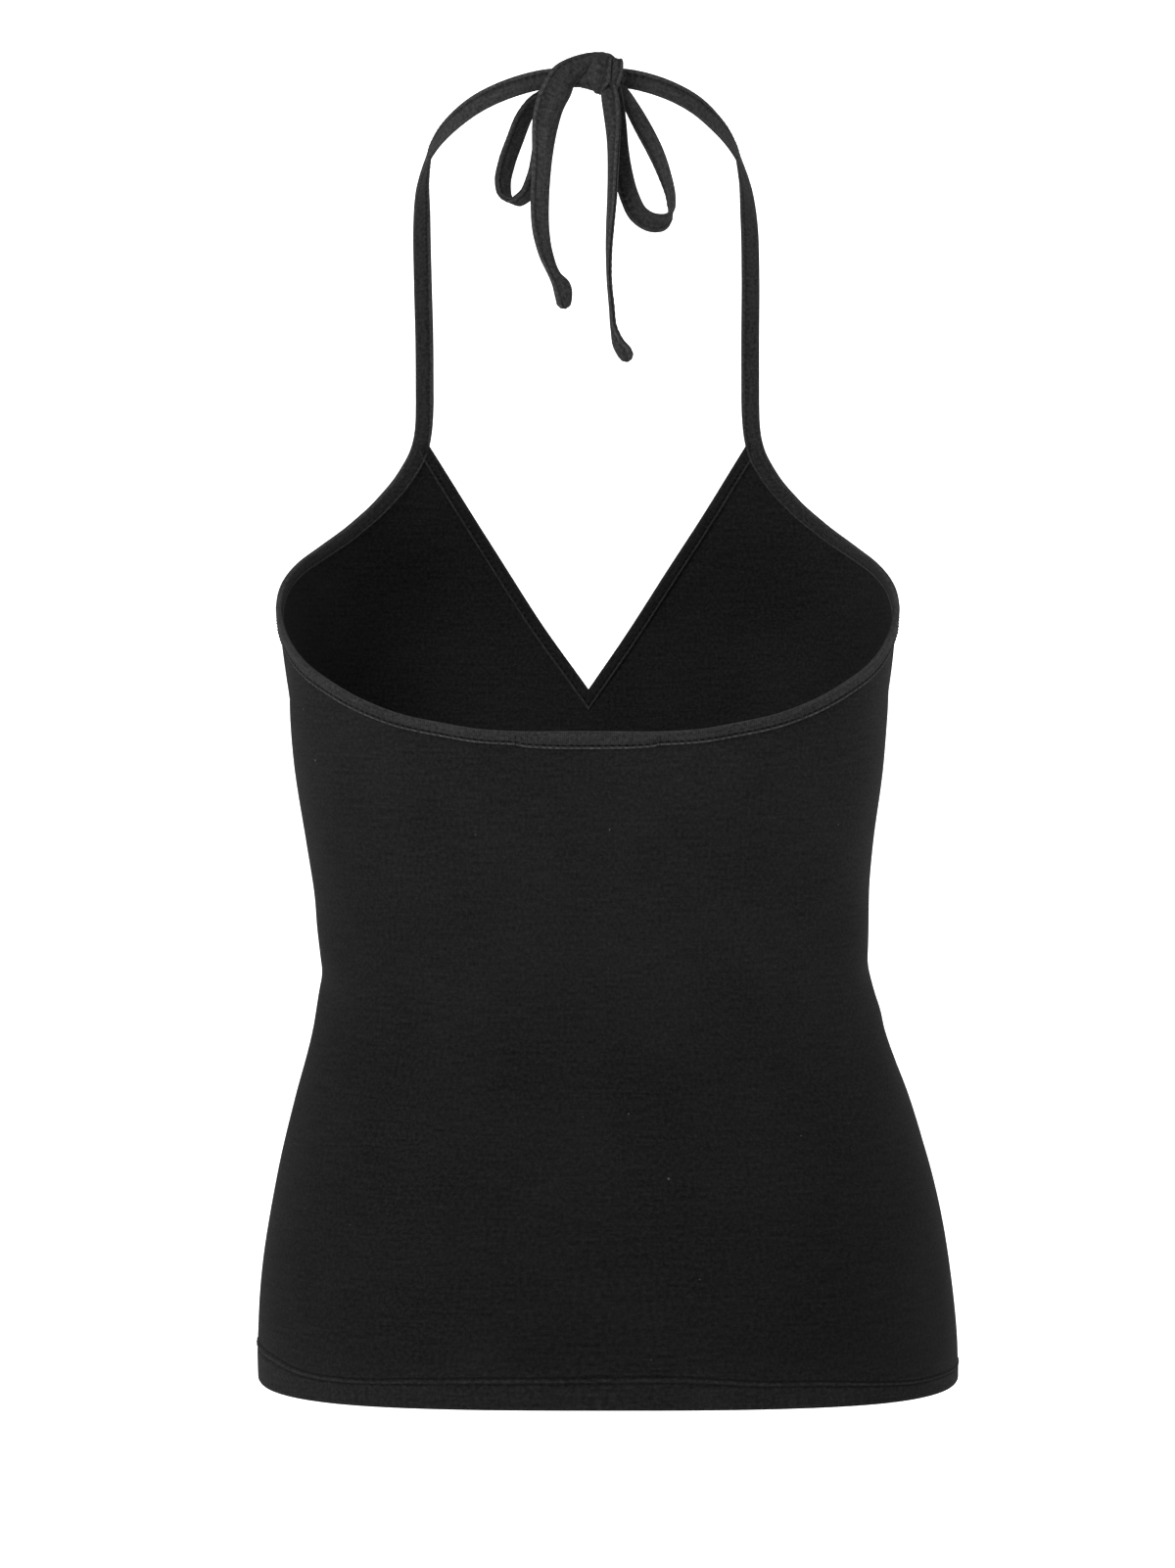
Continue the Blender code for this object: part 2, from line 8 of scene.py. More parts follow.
import bmesh
import bpy
import numpy as np
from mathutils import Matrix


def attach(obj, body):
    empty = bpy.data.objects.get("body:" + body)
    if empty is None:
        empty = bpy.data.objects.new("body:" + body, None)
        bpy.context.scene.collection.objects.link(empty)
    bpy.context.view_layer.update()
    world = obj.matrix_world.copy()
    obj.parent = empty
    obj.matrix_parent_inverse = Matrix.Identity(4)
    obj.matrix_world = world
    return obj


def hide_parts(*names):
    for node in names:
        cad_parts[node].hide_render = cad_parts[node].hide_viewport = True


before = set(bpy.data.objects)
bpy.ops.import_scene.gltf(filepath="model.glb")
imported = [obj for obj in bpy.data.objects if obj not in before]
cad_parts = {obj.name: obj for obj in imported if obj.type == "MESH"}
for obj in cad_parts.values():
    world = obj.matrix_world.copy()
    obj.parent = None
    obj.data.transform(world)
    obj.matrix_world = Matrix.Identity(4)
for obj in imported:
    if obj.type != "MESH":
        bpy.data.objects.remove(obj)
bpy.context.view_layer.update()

# ---- Camera -------------------------------------------------------------------------------------------
# A long lens 2.2 m behind the side seams, level with the shoulder blades and looking a little down.
camera_lens = bpy.data.cameras.new("camera")
camera_lens.sensor_fit = "HORIZONTAL"
camera_lens.sensor_width = 36
camera_lens.lens = 148.3
camera = bpy.data.objects.new("camera", camera_lens)
camera.location = (0, 2.1364, -0.1879)
camera.rotation_euler = (radians(90 - 3.29), 0, radians(180))
bpy.context.scene.collection.objects.link(camera)
bpy.context.scene.camera = camera

# ---- The form that the cloth is stretched over ----------------------------------------------------------
# No piece of its own: a general figure, level by level, that both panels and all their bindings follow.
# Each level is a superellipse in two halves, front and back, about the plane of the side seams.
SIDE_Y = -0.060
SECTION_COLUMNS = ("height", "half_width", "shift", "back_depth", "front_depth", "squareness")
SECTIONS = (
    (-0.140, 0.1280, 0.0000, 0.084, 0.064, 2.30),
    (-0.180, 0.1360, 0.0000, 0.091, 0.088, 2.30),
    (-0.223, 0.1409, 0.0000, 0.095, 0.104, 2.30),
    (-0.245, 0.1392, 0.0000, 0.095, 0.108, 2.35),
    (-0.270, 0.1367, -0.0004, 0.094, 0.106, 2.40),
    (-0.305, 0.1337, -0.0007, 0.089, 0.098, 2.40),
    (-0.341, 0.1287, -0.0010, 0.082, 0.090, 2.40),
    (-0.377, 0.1252, -0.0027, 0.076, 0.086, 2.40),
    (-0.400, 0.1252, -0.0038, 0.075, 0.086, 2.40),
    (-0.421, 0.1290, -0.0049, 0.077, 0.089, 2.45),
    (-0.457, 0.1400, -0.0069, 0.086, 0.095, 2.55),
    (-0.493, 0.1493, -0.0080, 0.097, 0.100, 2.70),
    (-0.529, 0.1559, -0.0084, 0.106, 0.104, 2.85),
    (-0.565, 0.1586, -0.0092, 0.111, 0.106, 3.00),
    (-0.590, 0.1584, -0.0092, 0.112, 0.106, 3.00),
)
BUST_HEIGHT = -0.246
BUST_APART = 0.086
BUST_FORM = 0.012
BUST_SPREAD = (0.040, 0.048)

# Finished edge from the centre back (0 degrees) round under the arm to the front's point, and the V
# neckline.
SIDE_EDGE_COLUMNS = ("angle", "height")
SIDE_EDGE = (
    (0, -0.2860),
    (10, -0.2860),
    (17, -0.2850),
    (24, -0.2825),
    (33, -0.2790),
    (43, -0.2730),
    (55, -0.2640),
    (63, -0.2580),
    (71, -0.2510),
    (80, -0.2425),
    (90, -0.2320),
    (100, -0.2225),
    (110, -0.2140),
    (120, -0.2060),
    (130, -0.1955),
    (137, -0.1845),
    (142, -0.1725),
    (145, -0.1610),
)
NECK_EDGE_COLUMNS = ("out", "height")
NECK_EDGE = (
    (0.000, -0.2750),
    (0.020, -0.2465),
    (0.040, -0.2150),
    (0.058, -0.1860),
    (0.068, -0.1695),
    (0.075, -0.1580),
)

# Soft troughs (negative) and ridges in the stretched cloth, each listed one by one.
CREASE_COLUMNS = ("angle", "height", "half_length", "half_width", "tilt", "rise")
CREASES = (
    (82, -0.4020, 0.045, 0.0070, 8, -0.0010),
    (74, -0.3850, 0.060, 0.0100, 14, 0.0007),
    (-80, -0.3980, 0.050, 0.0075, -6, -0.0009),
    (-70, -0.3810, 0.055, 0.0100, -12, 0.0006),
    (-86, -0.4170, 0.030, 0.0060, -4, 0.0006),
    (84, -0.2700, 0.020, 0.0060, -38, -0.0008),
    (-84, -0.2660, 0.022, 0.0060, 40, -0.0006),
    (30, -0.4300, 0.070, 0.0160, 5, -0.0005),
    (-24, -0.4080, 0.080, 0.0150, -4, 0.0004),
    (12, -0.5300, 0.030, 0.0140, 84, 0.0006),
    (-34, -0.5350, 0.030, 0.0160, 96, 0.0007),
    (48, -0.5400, 0.026, 0.0140, 80, -0.0006),
    (-62, -0.5400, 0.028, 0.0150, 100, -0.0005),
    (118, -0.3950, 0.050, 0.0090, -8, -0.0009),
    (150, -0.4300, 0.070, 0.0160, 6, 0.0006),
    (-122, -0.3900, 0.050, 0.0100, 10, -0.0009),
    (-150, -0.4250, 0.065, 0.0170, -5, -0.0005),
    (140, -0.3000, 0.050, 0.0120, 62, -0.0008),
    (-141, -0.3020, 0.050, 0.0120, -60, -0.0008),
    (165, -0.5350, 0.030, 0.0150, 94, 0.0006),
    (-172, -0.5400, 0.030, 0.0150, 86, -0.0005),
)


def read(table, columns, name):
    return np.array([row[columns.index(name)] for row in table], float)


def smooth(knots, values, at):
    """Cubic through rising knots, each knot with the slope between its neighbours."""
    slopes = np.gradient(values, knots, axis=0)
    at = np.clip(at, knots[0], knots[-1])
    i = np.clip(np.searchsorted(knots, at) - 1, 0, len(knots) - 2)
    span = knots[i + 1] - knots[i]
    t = (at - knots[i]) / span
    if values.ndim > 1:
        span, t = span[:, None], t[:, None]
    return (
        values[i] * (2 * t**3 - 3 * t**2 + 1)
        + values[i + 1] * (3 * t**2 - 2 * t**3)
        + span * slopes[i] * (t**3 - 2 * t**2 + t)
        + span * slopes[i + 1] * (t**3 - t**2)
    )


def section(name, height):
    knots = read(SECTIONS, SECTION_COLUMNS, "height")[::-1]
    return smooth(knots, read(SECTIONS, SECTION_COLUMNS, name)[::-1], height)


def signed_power(value, power):
    return np.sign(value) * np.abs(value) ** power


def depth_at(out, front, height):
    """How deep the form is behind, or in front with its soft bust: two bells on the front's depth."""
    spread_out, spread_up = BUST_SPREAD
    off, up = np.abs(out) - BUST_APART, height - BUST_HEIGHT
    bust = np.exp(-((off / spread_out) ** 2) - (up / spread_up) ** 2)
    return np.where(front, section("front_depth", height) + BUST_FORM * bust, section("back_depth", height))


def on_form(angle, height):
    """Points of the form: out and deep as the powers of a superellipse, by the angle from centre back."""
    turn = np.radians(angle)
    height = np.asarray(height, float) + 0 * turn
    power = 2 / section("squareness", height)
    out = section("half_width", height) * signed_power(np.sin(turn), power)
    deep = signed_power(np.cos(turn), power)
    y = SIDE_Y + depth_at(out, deep < 0, height) * deep
    return np.stack([out + section("shift", height), y, height], axis=-1)


def angle_of(points):
    """The form's angle at points near it: the superellipse turned back into a circle."""
    x, y, height = np.moveaxis(points, -1, 0)
    power = section("squareness", height) / 2
    out = x - section("shift", height)
    across = signed_power(out / section("half_width", height), power)
    deep = signed_power((y - SIDE_Y) / depth_at(out, y < SIDE_Y, height), power)
    return np.degrees(np.arctan2(across, deep))


def unit(vectors):
    return vectors / np.linalg.norm(vectors, axis=-1, keepdims=True)


def form_normals(angle, height):
    """Outward direction: the cross product of short steps up and round the form."""
    step, rise = 0.4, 0.001
    round_way = on_form(angle + step, height) - on_form(angle - step, height)
    up_way = on_form(angle, height + rise) - on_form(angle, height - rise)
    return unit(np.cross(up_way, round_way))


def creases(angle, height):
    """Sum of long bells: each falls off slowly along its own tilted line and quickly across it."""
    total = np.zeros(np.broadcast(angle, height).shape)
    for row in CREASES:
        place, level, half_length, half_width, tilt, rise = row
        arc = ((angle - place + 180) % 360 - 180) * 0.0024
        up = height - level
        along = arc * cos(radians(tilt)) + up * sin(radians(tilt))
        across = up * cos(radians(tilt)) - arc * sin(radians(tilt))
        total += rise * np.exp(-((along / half_length) ** 2) - (across / half_width) ** 2)
    waves = np.sin(angle * 0.111 + height * 31 + 0.6) * np.sin(angle * 0.047 - height * 43 + 2.1)
    return total + 0.00035 * waves


def on_cloth(angle, height):
    """The cloth's outer face: the form, moved out along its normal by the creases."""
    return on_form(angle, height) + creases(angle, height)[..., None] * form_normals(angle, height)


def side_edge(angle):
    knots = read(SIDE_EDGE, SIDE_EDGE_COLUMNS, "angle")
    return smooth(knots, read(SIDE_EDGE, SIDE_EDGE_COLUMNS, "height"), np.abs(angle))


def neck_edge(angle):
    """Height of the V at an angle: height and distance out settle each other in a few rounds."""
    knots = read(NECK_EDGE, NECK_EDGE_COLUMNS, "out")
    heights = read(NECK_EDGE, NECK_EDGE_COLUMNS, "height")
    height = np.full(np.shape(angle), heights[2])
    for _ in range(12):
        out = np.abs(on_form(angle, height)[..., 0] - section("shift", height))
        height = smooth(knots, heights, out)
    return height


# ---- Back and front -----------------------------------------------------------------------------------
# Two panels of fine cotton jersey joined at the side seams, the back scooped low and the front rising to
# the ties. Each has its bottom edge turned up inside and caught by two rows of coverstitch.
JERSEY_WALL = 0.0008
HEM_BOTTOM = -0.5820
HEM_LIFT = 0.0012           # the hem is this much higher at the centre back and front than at its sides
HEM_TURN_UP = 0.0160
HEM_FOLD = 0.0010           # radius of the fold, to the cloth's outer face
HEM_ROWS = (0.0115, 0.0142)  # heights of the two stitch rows above the fold
HEM_PAINTED_SHADE = 1500            # how much painted highlight and shade the hem's relief gets, a metre of height
HEM_EVEN = 0.0060           # the hem's rows have their full pull from this height above the fold
FINE_ROWS = (0.0018, 0.0190, 0.00045)  # first height above the fold, last, and the step between them
POINT_ANGLE = 146           # the armhole's side of the front's point ends here and the neckline's begins
POINT_TOP = -0.166          # the front's cut-off point, inside the halter strip
# Place across the form, from the wearer's right side to the left, and the height of the rows there as a
# share of their own.
HEM_COLUMNS = ("place", "height")
HEM_PULL = (
    (-1.00, 0.62),
    (-0.90, 0.62),
    (-0.81, 0.70),
    (-0.67, 0.82),
    (-0.46, 0.89),
    (-0.30, 1.02),
    (-0.18, 1.05),
    (0.00, 1.03),
    (0.27, 1.00),
    (0.50, 0.92),
    (0.67, 0.84),
    (0.81, 0.94),
    (0.90, 1.22),
    (1.00, 1.38),
)
EDGE_SET_BACK = 0.0023      # the raw edge lies this far inside the binding's fold


def shader_node(tree, kind, values=None, **settings):
    """Adds a node. Values go by an input's name or number: a number, a colour or another node's output."""
    node = tree.nodes.new("ShaderNode" + kind)
    for key, value in settings.items():
        setattr(node, key, value)
    for key, value in (values or {}).items():
        if isinstance(value, bpy.types.NodeSocket):
            tree.links.new(value, node.inputs[key])
        else:
            node.inputs[key].default_value = value
    return node


def sums(tree, operation, *values):
    return shader_node(tree, "Math", dict(enumerate(values)), operation=operation).outputs[0]


def knit(name, colour, wale, course, relief, rib_shade, fibre):
    """Jersey: V-shaped loops in columns as bump, fuzzy fibres, slubs along the courses, and lint specks.

    The cloth's own map is in metres: across the wales, which are the columns of loops, and along them. A
    per-point attribute scales the colour, partly wear and partly painted light: paler where the cloth stands up
    and is handled, as wear and painted highlight, and darker in a groove or on an inner leg, as painted shade.
    """
    material = bpy.data.materials.new(name)
    material.use_nodes = True
    tree = material.node_tree
    shader = tree.nodes["Principled BSDF"]
    place = shader_node(tree, "UVMap", uv_map="cloth").outputs[0]
    split = shader_node(tree, "SeparateXYZ", {0: place})
    wander = shader_node(tree, "TexNoise", {"Vector": place, "Scale": 260.0, "Detail": 2.0})
    shake = sums(tree, "MULTIPLY", sums(tree, "SUBTRACT", wander.outputs[0], 0.5), 0.0009)
    column = sums(tree, "DIVIDE", sums(tree, "ADD", split.outputs[0], shake), wale)
    slant = sums(tree, "PINGPONG", column, 0.5)
    loop = sums(tree, "MULTIPLY_ADD", slant, 0.9, sums(tree, "DIVIDE", split.outputs[1], course))
    rows = sums(tree, "MULTIPLY_ADD", sums(tree, "COSINE", sums(tree, "MULTIPLY", loop, 2 * pi)), 0.5, 0.5)
    ribs = sums(tree, "SINE", sums(tree, "MULTIPLY", slant, pi))
    fuzz = shader_node(tree, "TexNoise", {"Vector": place, "Scale": 1500.0, "Detail": 4.0, "Roughness": 0.7})
    height = sums(tree, "MULTIPLY_ADD", rows, 0.35, ribs)
    height = sums(tree, "MULTIPLY_ADD", fuzz.outputs[0], 0.9, height)
    bump = shader_node(tree, "Bump", {"Strength": relief, "Distance": 0.0004, "Height": height})
    tree.links.new(bump.outputs[0], shader.inputs["Normal"])

    stretch = shader_node(tree, "Mapping", {"Vector": place, "Scale": (55.0, 800.0, 1.0)})
    slub = shader_node(tree, "TexNoise", {"Vector": stretch.outputs[0], "Scale": 1.0, "Detail": 3.0})
    grain = shader_node(tree, "TexNoise", {"Vector": place, "Scale": 620.0, "Detail": 3.0, "Roughness": 0.8})
    blotch = shader_node(tree, "TexNoise", {"Vector": place, "Scale": 22.0, "Detail": 3.0})
    specked = sums(tree, "POWER", grain.outputs[0], 2.0)
    tone = sums(tree, "MULTIPLY_ADD", slub.outputs[0], 0.8, sums(tree, "MULTIPLY", specked, 2.9))
    tone = sums(tree, "MULTIPLY_ADD", blotch.outputs[0], 0.5, tone)
    tone = sums(tree, "MULTIPLY_ADD", rows, 0.25, tone)
    tone = sums(tree, "MULTIPLY_ADD", ribs, rib_shade, tone)
    tone = sums(tree, "MAXIMUM", sums(tree, "SUBTRACT", tone, 0.55 + 0.63 * rib_shade), 0.12)
    # Per-point colour scale: part wear, part painted highlight on raised cloth and painted shade in grooves and
    # inner legs.
    scuff_and_painted_light = shader_node(tree, "Attribute", attribute_name="scuff_and_painted_light").outputs["Fac"]
    tone = sums(tree, "MULTIPLY", tone, scuff_and_painted_light)
    base = shader_node(tree, "Mix", {"Factor": 1.0, "A": (*colour, 1.0)}, data_type="RGBA", blend_type="MULTIPLY")
    shade = shader_node(tree, "CombineColor", {0: tone, 1: tone, 2: tone})
    tree.links.new(shade.outputs[0], base.inputs["B"])
    specks = shader_node(tree, "TexVoronoi", {"Vector": place, "Scale": 150.0, "Randomness": 1.0})
    luck = shader_node(tree, "SeparateColor", {0: specks.outputs["Color"]})
    size = sums(tree, "MULTIPLY", sums(tree, "SUBTRACT", luck.outputs[0], 0.80), 0.36)
    lint = sums(tree, "GREATER_THAN", size, specks.outputs["Distance"])
    lint = sums(tree, "MULTIPLY", lint, sums(tree, "MULTIPLY_ADD", luck.outputs[1], 0.45, 0.15))
    speckled = shader_node(
        tree, "Mix", {"Factor": lint, "A": base.outputs["Result"], "B": (0.10, 0.10, 0.105, 1.0)}, data_type="RGBA"
    )
    tree.links.new(speckled.outputs["Result"], shader.inputs["Base Color"])
    shader.inputs["Roughness"].default_value = 0.95
    shader.inputs["Specular IOR Level"].default_value = 0.03
    shader.inputs["Sheen Weight"].default_value = fibre
    shader.inputs["Sheen Roughness"].default_value = 0.5
    shader.inputs["Sheen Tint"].default_value = (0.10, 0.10, 0.105, 1.0)
    return material


def add_piece(name, points, faces, material, closed):
    """A mesh object with its place in its mesh. A closed one has its faces turned outwards."""
    mesh = bpy.data.meshes.new(name)
    mesh.from_pydata(points.tolist(), [], faces)
    if closed:
        work = bmesh.new()
        work.from_mesh(mesh)
        bmesh.ops.recalc_face_normals(work, faces=work.faces)
        work.to_mesh(mesh)
        work.free()
    mesh.materials.append(material)
    mesh.shade_smooth()
    obj = bpy.data.objects.new(name, mesh)
    bpy.context.scene.collection.objects.link(obj)
    return obj


def add_grid(name, grid, material, cloth_map, tube=False, scuff_and_painted_light=None):
    """A grid of points, rows by columns, as quads with its own map in metres. A tube joins the last column to
    the first, and has both ends closed with a fan about the middle of its end ring."""
    rows, columns = grid.shape[:2]
    index = np.arange(rows * columns).reshape(rows, columns)
    if tube:
        index = np.concatenate([index, index[:, :1]], axis=1)
    corners = [index[:-1, :-1], index[1:, :-1], index[1:, 1:], index[:-1, 1:]]
    corners = np.stack(corners, axis=-1).reshape(-1, 4)
    points, place = grid.reshape(-1, 3), cloth_map.reshape(-1, 2)
    scuff_and_painted_light = np.ones(rows * columns) if scuff_and_painted_light is None else np.broadcast_to(scuff_and_painted_light, (rows, columns)).ravel()
    faces = corners.tolist()
    if tube:
        points = np.concatenate([points, grid[[0, -1]].mean(axis=1)])
        place = np.concatenate([place, cloth_map[[0, -1]].mean(axis=1)])
        scuff_and_painted_light = np.append(scuff_and_painted_light, [1, 1])
        for ring, middle, turn in ((index[0], len(points) - 2, 1), (index[-1], len(points) - 1, -1)):
            faces += [[int(ring[k]), int(ring[k + 1]), middle][::turn] for k in range(columns)]
    obj = add_piece(name, points, faces, material, tube)
    mesh = obj.data
    layer = mesh.uv_layers.new(name="cloth")
    loops = np.empty(len(mesh.loops), int)
    mesh.loops.foreach_get("vertex_index", loops)
    layer.data.foreach_set("uv", place[loops].ravel().astype(np.float32))
    # Per-point colour scale, part wear and part painted light and shade.
    scuff_and_light_layer = mesh.attributes.new("scuff_and_painted_light", "FLOAT", "POINT")
    scuff_and_light_layer.data.foreach_set("value", scuff_and_painted_light.astype(np.float32))
    return obj


def with_wall(obj, wall):
    modifier = obj.modifiers.new("wall", "SOLIDIFY")
    modifier.thickness = wall
    modifier.offset = -1
    modifier.use_even_offset = True
    return obj


def run_along(points):
    """Distance along a line of points, from its first."""
    return np.concatenate([[0], np.cumsum(np.linalg.norm(np.diff(points, axis=0), axis=1))])


def raw_edge(angle, edge):
    """The panel's own edge: the finished edge less the set-back, measured square to the edge."""
    step = 0.5
    run = on_form(angle + step, edge(angle + step)) - on_form(angle - step, edge(angle - step))
    slope = run[..., 2] / np.hypot(run[..., 0], run[..., 1])
    return edge(angle) - EDGE_SET_BACK * np.sqrt(1 + slope**2)


def hem_height(angle):
    """How high the hem's rows run for their place across the form: they sag towards the wearer's right."""
    place = on_form(angle, HEM_BOTTOM + 0 * angle)[..., 0] / section("half_width", HEM_BOTTOM)
    return smooth(read(HEM_PULL, HEM_COLUMNS, "place"), read(HEM_PULL, HEM_COLUMNS, "height"), place)


def hem_relief(above):
    """Coverstitch draws two grooves into the hem and lets the cloth between them stand up in a welt."""
    low, high = HEM_ROWS
    grooves = np.exp(-(((above - low) / 0.0005) ** 2)) + np.exp(-(((above - high) / 0.0006) ** 2))
    welt = np.exp(-(((above - (low + high) / 2) / 0.0008) ** 2))
    pad = 1 / (1 + np.exp((above - high - 0.001) / 0.0008))
    return 0.00035 * welt - 0.00040 * grooves + 0.00020 * pad


def panel(name, angles, tops, material):
    """Rows go from the inner edge of the turned-up hem, round its fold, over the stitch rows and up to the
    raw top edge, each row over all the columns. The map is arc length round by height."""
    fold = HEM_BOTTOM + HEM_LIFT * np.cos(np.radians(angles)) ** 2
    turn = np.linspace(0, pi, 9)
    inside = [(rise, 2 * HEM_FOLD) for rise in (HEM_TURN_UP, HEM_TURN_UP * 0.6, HEM_TURN_UP * 0.25)]
    round_fold = [(HEM_FOLD - HEM_FOLD * sin(t), HEM_FOLD + HEM_FOLD * cos(t)) for t in turn]
    fine = [(rise, 0.0) for rise in np.arange(*FINE_ROWS)]
    uneven = 1 + 0.35 * np.sin(angles * 3.9) * np.sin(angles * 1.27 + 1)
    pull = hem_height(angles)
    rows, run, scuff_and_painted_light = [], [], []
    for rise, depth in inside + round_fold + fine:
        height = fold + rise * (1 + (pull - 1) * min(rise / HEM_EVEN, 1))
        out = unit(form_normals(angles, height) * [1, 1, 0])
        proud = hem_relief(rise) * uneven if depth == 0 else -depth + 0 * angles
        rows.append(on_cloth(angles, height) + proud[:, None] * out)
        run.append(height if depth <= HEM_FOLD else 2 * HEM_BOTTOM - height)
        # Hem tone: painted highlight on the welt and painted shade in the stitch grooves, over a base 12 per cent
        # paler.
        scuff_and_painted_light.append(1.12 + HEM_PAINTED_SHADE * hem_relief(rise) * uneven)
    start = fold + fine[-1][0] * pull
    for share in np.linspace(0, 1, 128)[1:]:
        height = start + (tops - start) * share
        rows.append(on_cloth(angles, height))
        run.append(height)
        scuff_and_painted_light.append(0 * height + 1 + 0.12 * np.exp(-share / 0.02))
    grid, run, scuff_and_painted_light = np.array(rows), np.array(run), np.array(scuff_and_painted_light)
    middle = on_form(angles, -0.45)
    arc = run_along(middle)
    # Slow mottling of the tone, and a painted light gradient: darker towards the hem, paler towards the top.
    mottle_and_painted_top_light = 0.84 + 0.08 * np.sin(arc * 9 + 1.2) * np.sin(run * 14) + 0.40 * (run - HEM_BOTTOM) / 0.3
    cloth_map = np.stack([np.broadcast_to(arc, run.shape), run], axis=-1)
    return with_wall(add_grid(name, grid, material, cloth_map, scuff_and_painted_light=scuff_and_painted_light * mottle_and_painted_top_light), JERSEY_WALL)


jersey = knit("black_jersey", (0.0073, 0.0073, 0.0076), 0.00062, 0.00052, 0.3, rib_shade=0.1, fibre=0.07)
back_angles = np.linspace(-90, 90, 221)
back = panel("back_jersey", back_angles, raw_edge(back_angles, side_edge), jersey)
front_half = [np.linspace(90, 138, 52), np.linspace(138.8, 150, 20), np.linspace(150.6, 180, 50)]
front_half = np.concatenate(front_half)
armhole_top, neckline_top = raw_edge(front_half, side_edge), raw_edge(front_half, neck_edge)
front_tops = np.minimum(np.where(front_half < POINT_ANGLE, armhole_top, neckline_top), POINT_TOP)
front_angles = np.concatenate([front_half, 360 - front_half[-2::-1]])
front = panel("front_jersey", front_angles, np.concatenate([front_tops, front_tops[-2::-1]]), jersey)
for piece, node, width, length, area in (
    (back, "back_panel", 0.395, 0.362, 0.112),
    (front, "front_panel", 0.440, 0.432, 0.150),
):
    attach(piece, "root")
    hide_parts(node)

# ---- Hem stitches -------------------------------------------------------------------------------------
# Black cotton-wrapped thread: two rows of needle stitches outside, and inside a looper thread that swings
# between the two rows over the raw edge of the turned-up hem.
STITCH_PITCH = 0.0030
STITCH_LENGTH = 0.0023
THREAD_RADIUS = 0.00021


def cotton_thread(name, colour):
    """Two plies that turn about each other, as slanting bands across the thread."""
    material = bpy.data.materials.new(name)
    material.use_nodes = True
    tree = material.node_tree
    shader = tree.nodes["Principled BSDF"]
    place = shader_node(tree, "TexCoord").outputs["Object"]
    winding = {"Vector": place, "Scale": 700.0, "Distortion": 2.0}
    ply = shader_node(tree, "TexWave", winding, bands_direction="DIAGONAL")
    bump = shader_node(tree, "Bump", {"Strength": 0.5, "Distance": 0.0001, "Height": ply.outputs["Fac"]})
    tree.links.new(bump.outputs[0], shader.inputs["Normal"])
    tone = sums(tree, "MULTIPLY_ADD", ply.outputs["Fac"], 0.5, 0.75)
    base = shader_node(tree, "Mix", {"Factor": 1.0, "A": (*colour, 1.0)}, data_type="RGBA", blend_type="MULTIPLY")
    shade = shader_node(tree, "CombineColor", {0: tone, 1: tone, 2: tone})
    tree.links.new(shade.outputs[0], base.inputs["B"])
    tree.links.new(base.outputs["Result"], shader.inputs["Base Color"])
    shader.inputs["Roughness"].default_value = 0.9
    shader.inputs["Specular IOR Level"].default_value = 0.05
    return material


def threads(name, tubes, material):
    """Small closed tubes, each rings by sides, as one mesh: quads round each, a flat polygon on both ends."""
    count, rings, sides = tubes.shape[:3]
    index = np.arange(count * rings * sides).reshape(count, rings, sides)
    ahead = np.roll(index, -1, axis=2)
    quads = np.stack([index[:, :-1], ahead[:, :-1], ahead[:, 1:], index[:, 1:]], axis=-1).reshape(-1, 4)
    ends = np.concatenate([index[:, 0, ::-1], index[:, -1]])
    obj = add_piece(name, tubes.reshape(-1, 3), quads.tolist() + ends.tolist(), material, True)
    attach(obj, "root")
    return obj


def tube_rings(centre, out, radius, sides):
    """Rings of points about each centre, square to the line of centres."""
    along = unit(np.gradient(centre, axis=-2))
    out = unit(out - (out * along).sum(axis=-1, keepdims=True) * along)
    turn = np.linspace(0, 2 * pi, sides + 1)[:-1, None]
    ring = np.cos(turn) * np.cross(along, out)[..., None, :] + np.sin(turn) * out[..., None, :]
    return centre[..., None, :] + radius[..., None, None] * ring


def needle_stitches(name, line, outs, slot, first=0.75):
    """One short thread a stitch: a spindle whose middle stands off the cloth and whose ends sink in. The
    last stitch ends a millimetre before the line does."""
    run = run_along(line)
    count = int((run[-1] - 0.001) / STITCH_PITCH - first + 0.5)
    share = np.linspace(-1, 1, 6)
    at = (np.arange(count)[:, None] + first) * STITCH_PITCH + share * STITCH_LENGTH / 2
    centre = smooth(run, line, at.ravel()).reshape(*at.shape, 3)
    out = unit(smooth(run, outs, at.ravel()).reshape(*at.shape, 3))
    lift = THREAD_RADIUS * (0.4 - 1.6 * share**2)
    radius = THREAD_RADIUS * np.sqrt(1.06 - share**2) + 0 * at
    tubes = tube_rings(centre + lift[:, None] * out, out, radius, 6)
    return threads(name, tubes, stitching.get(slot, black_thread))


def looper_thread(name, line, outs, half_width, slot):
    """One thread that swings to and fro across a line, once a stitch, softly at its turns."""
    run = run_along(line)
    at = np.arange(0.001, run[-1] - 0.001, STITCH_PITCH / 8)
    centre = smooth(run, line, at)
    out = unit(smooth(run, outs, at))
    swing = half_width * np.arcsin(0.93 * np.sin(2 * pi * at / STITCH_PITCH)) / 1.2
    centre = centre + swing[:, None] * np.cross(along_path(centre), out) + 0.5 * THREAD_RADIUS * out
    tube = tube_rings(centre, out, THREAD_RADIUS + 0 * at, 5)[None]
    return threads(name, tube, stitching.get(slot, black_thread))


def along_path(points):
    return unit(np.gradient(points, axis=0))


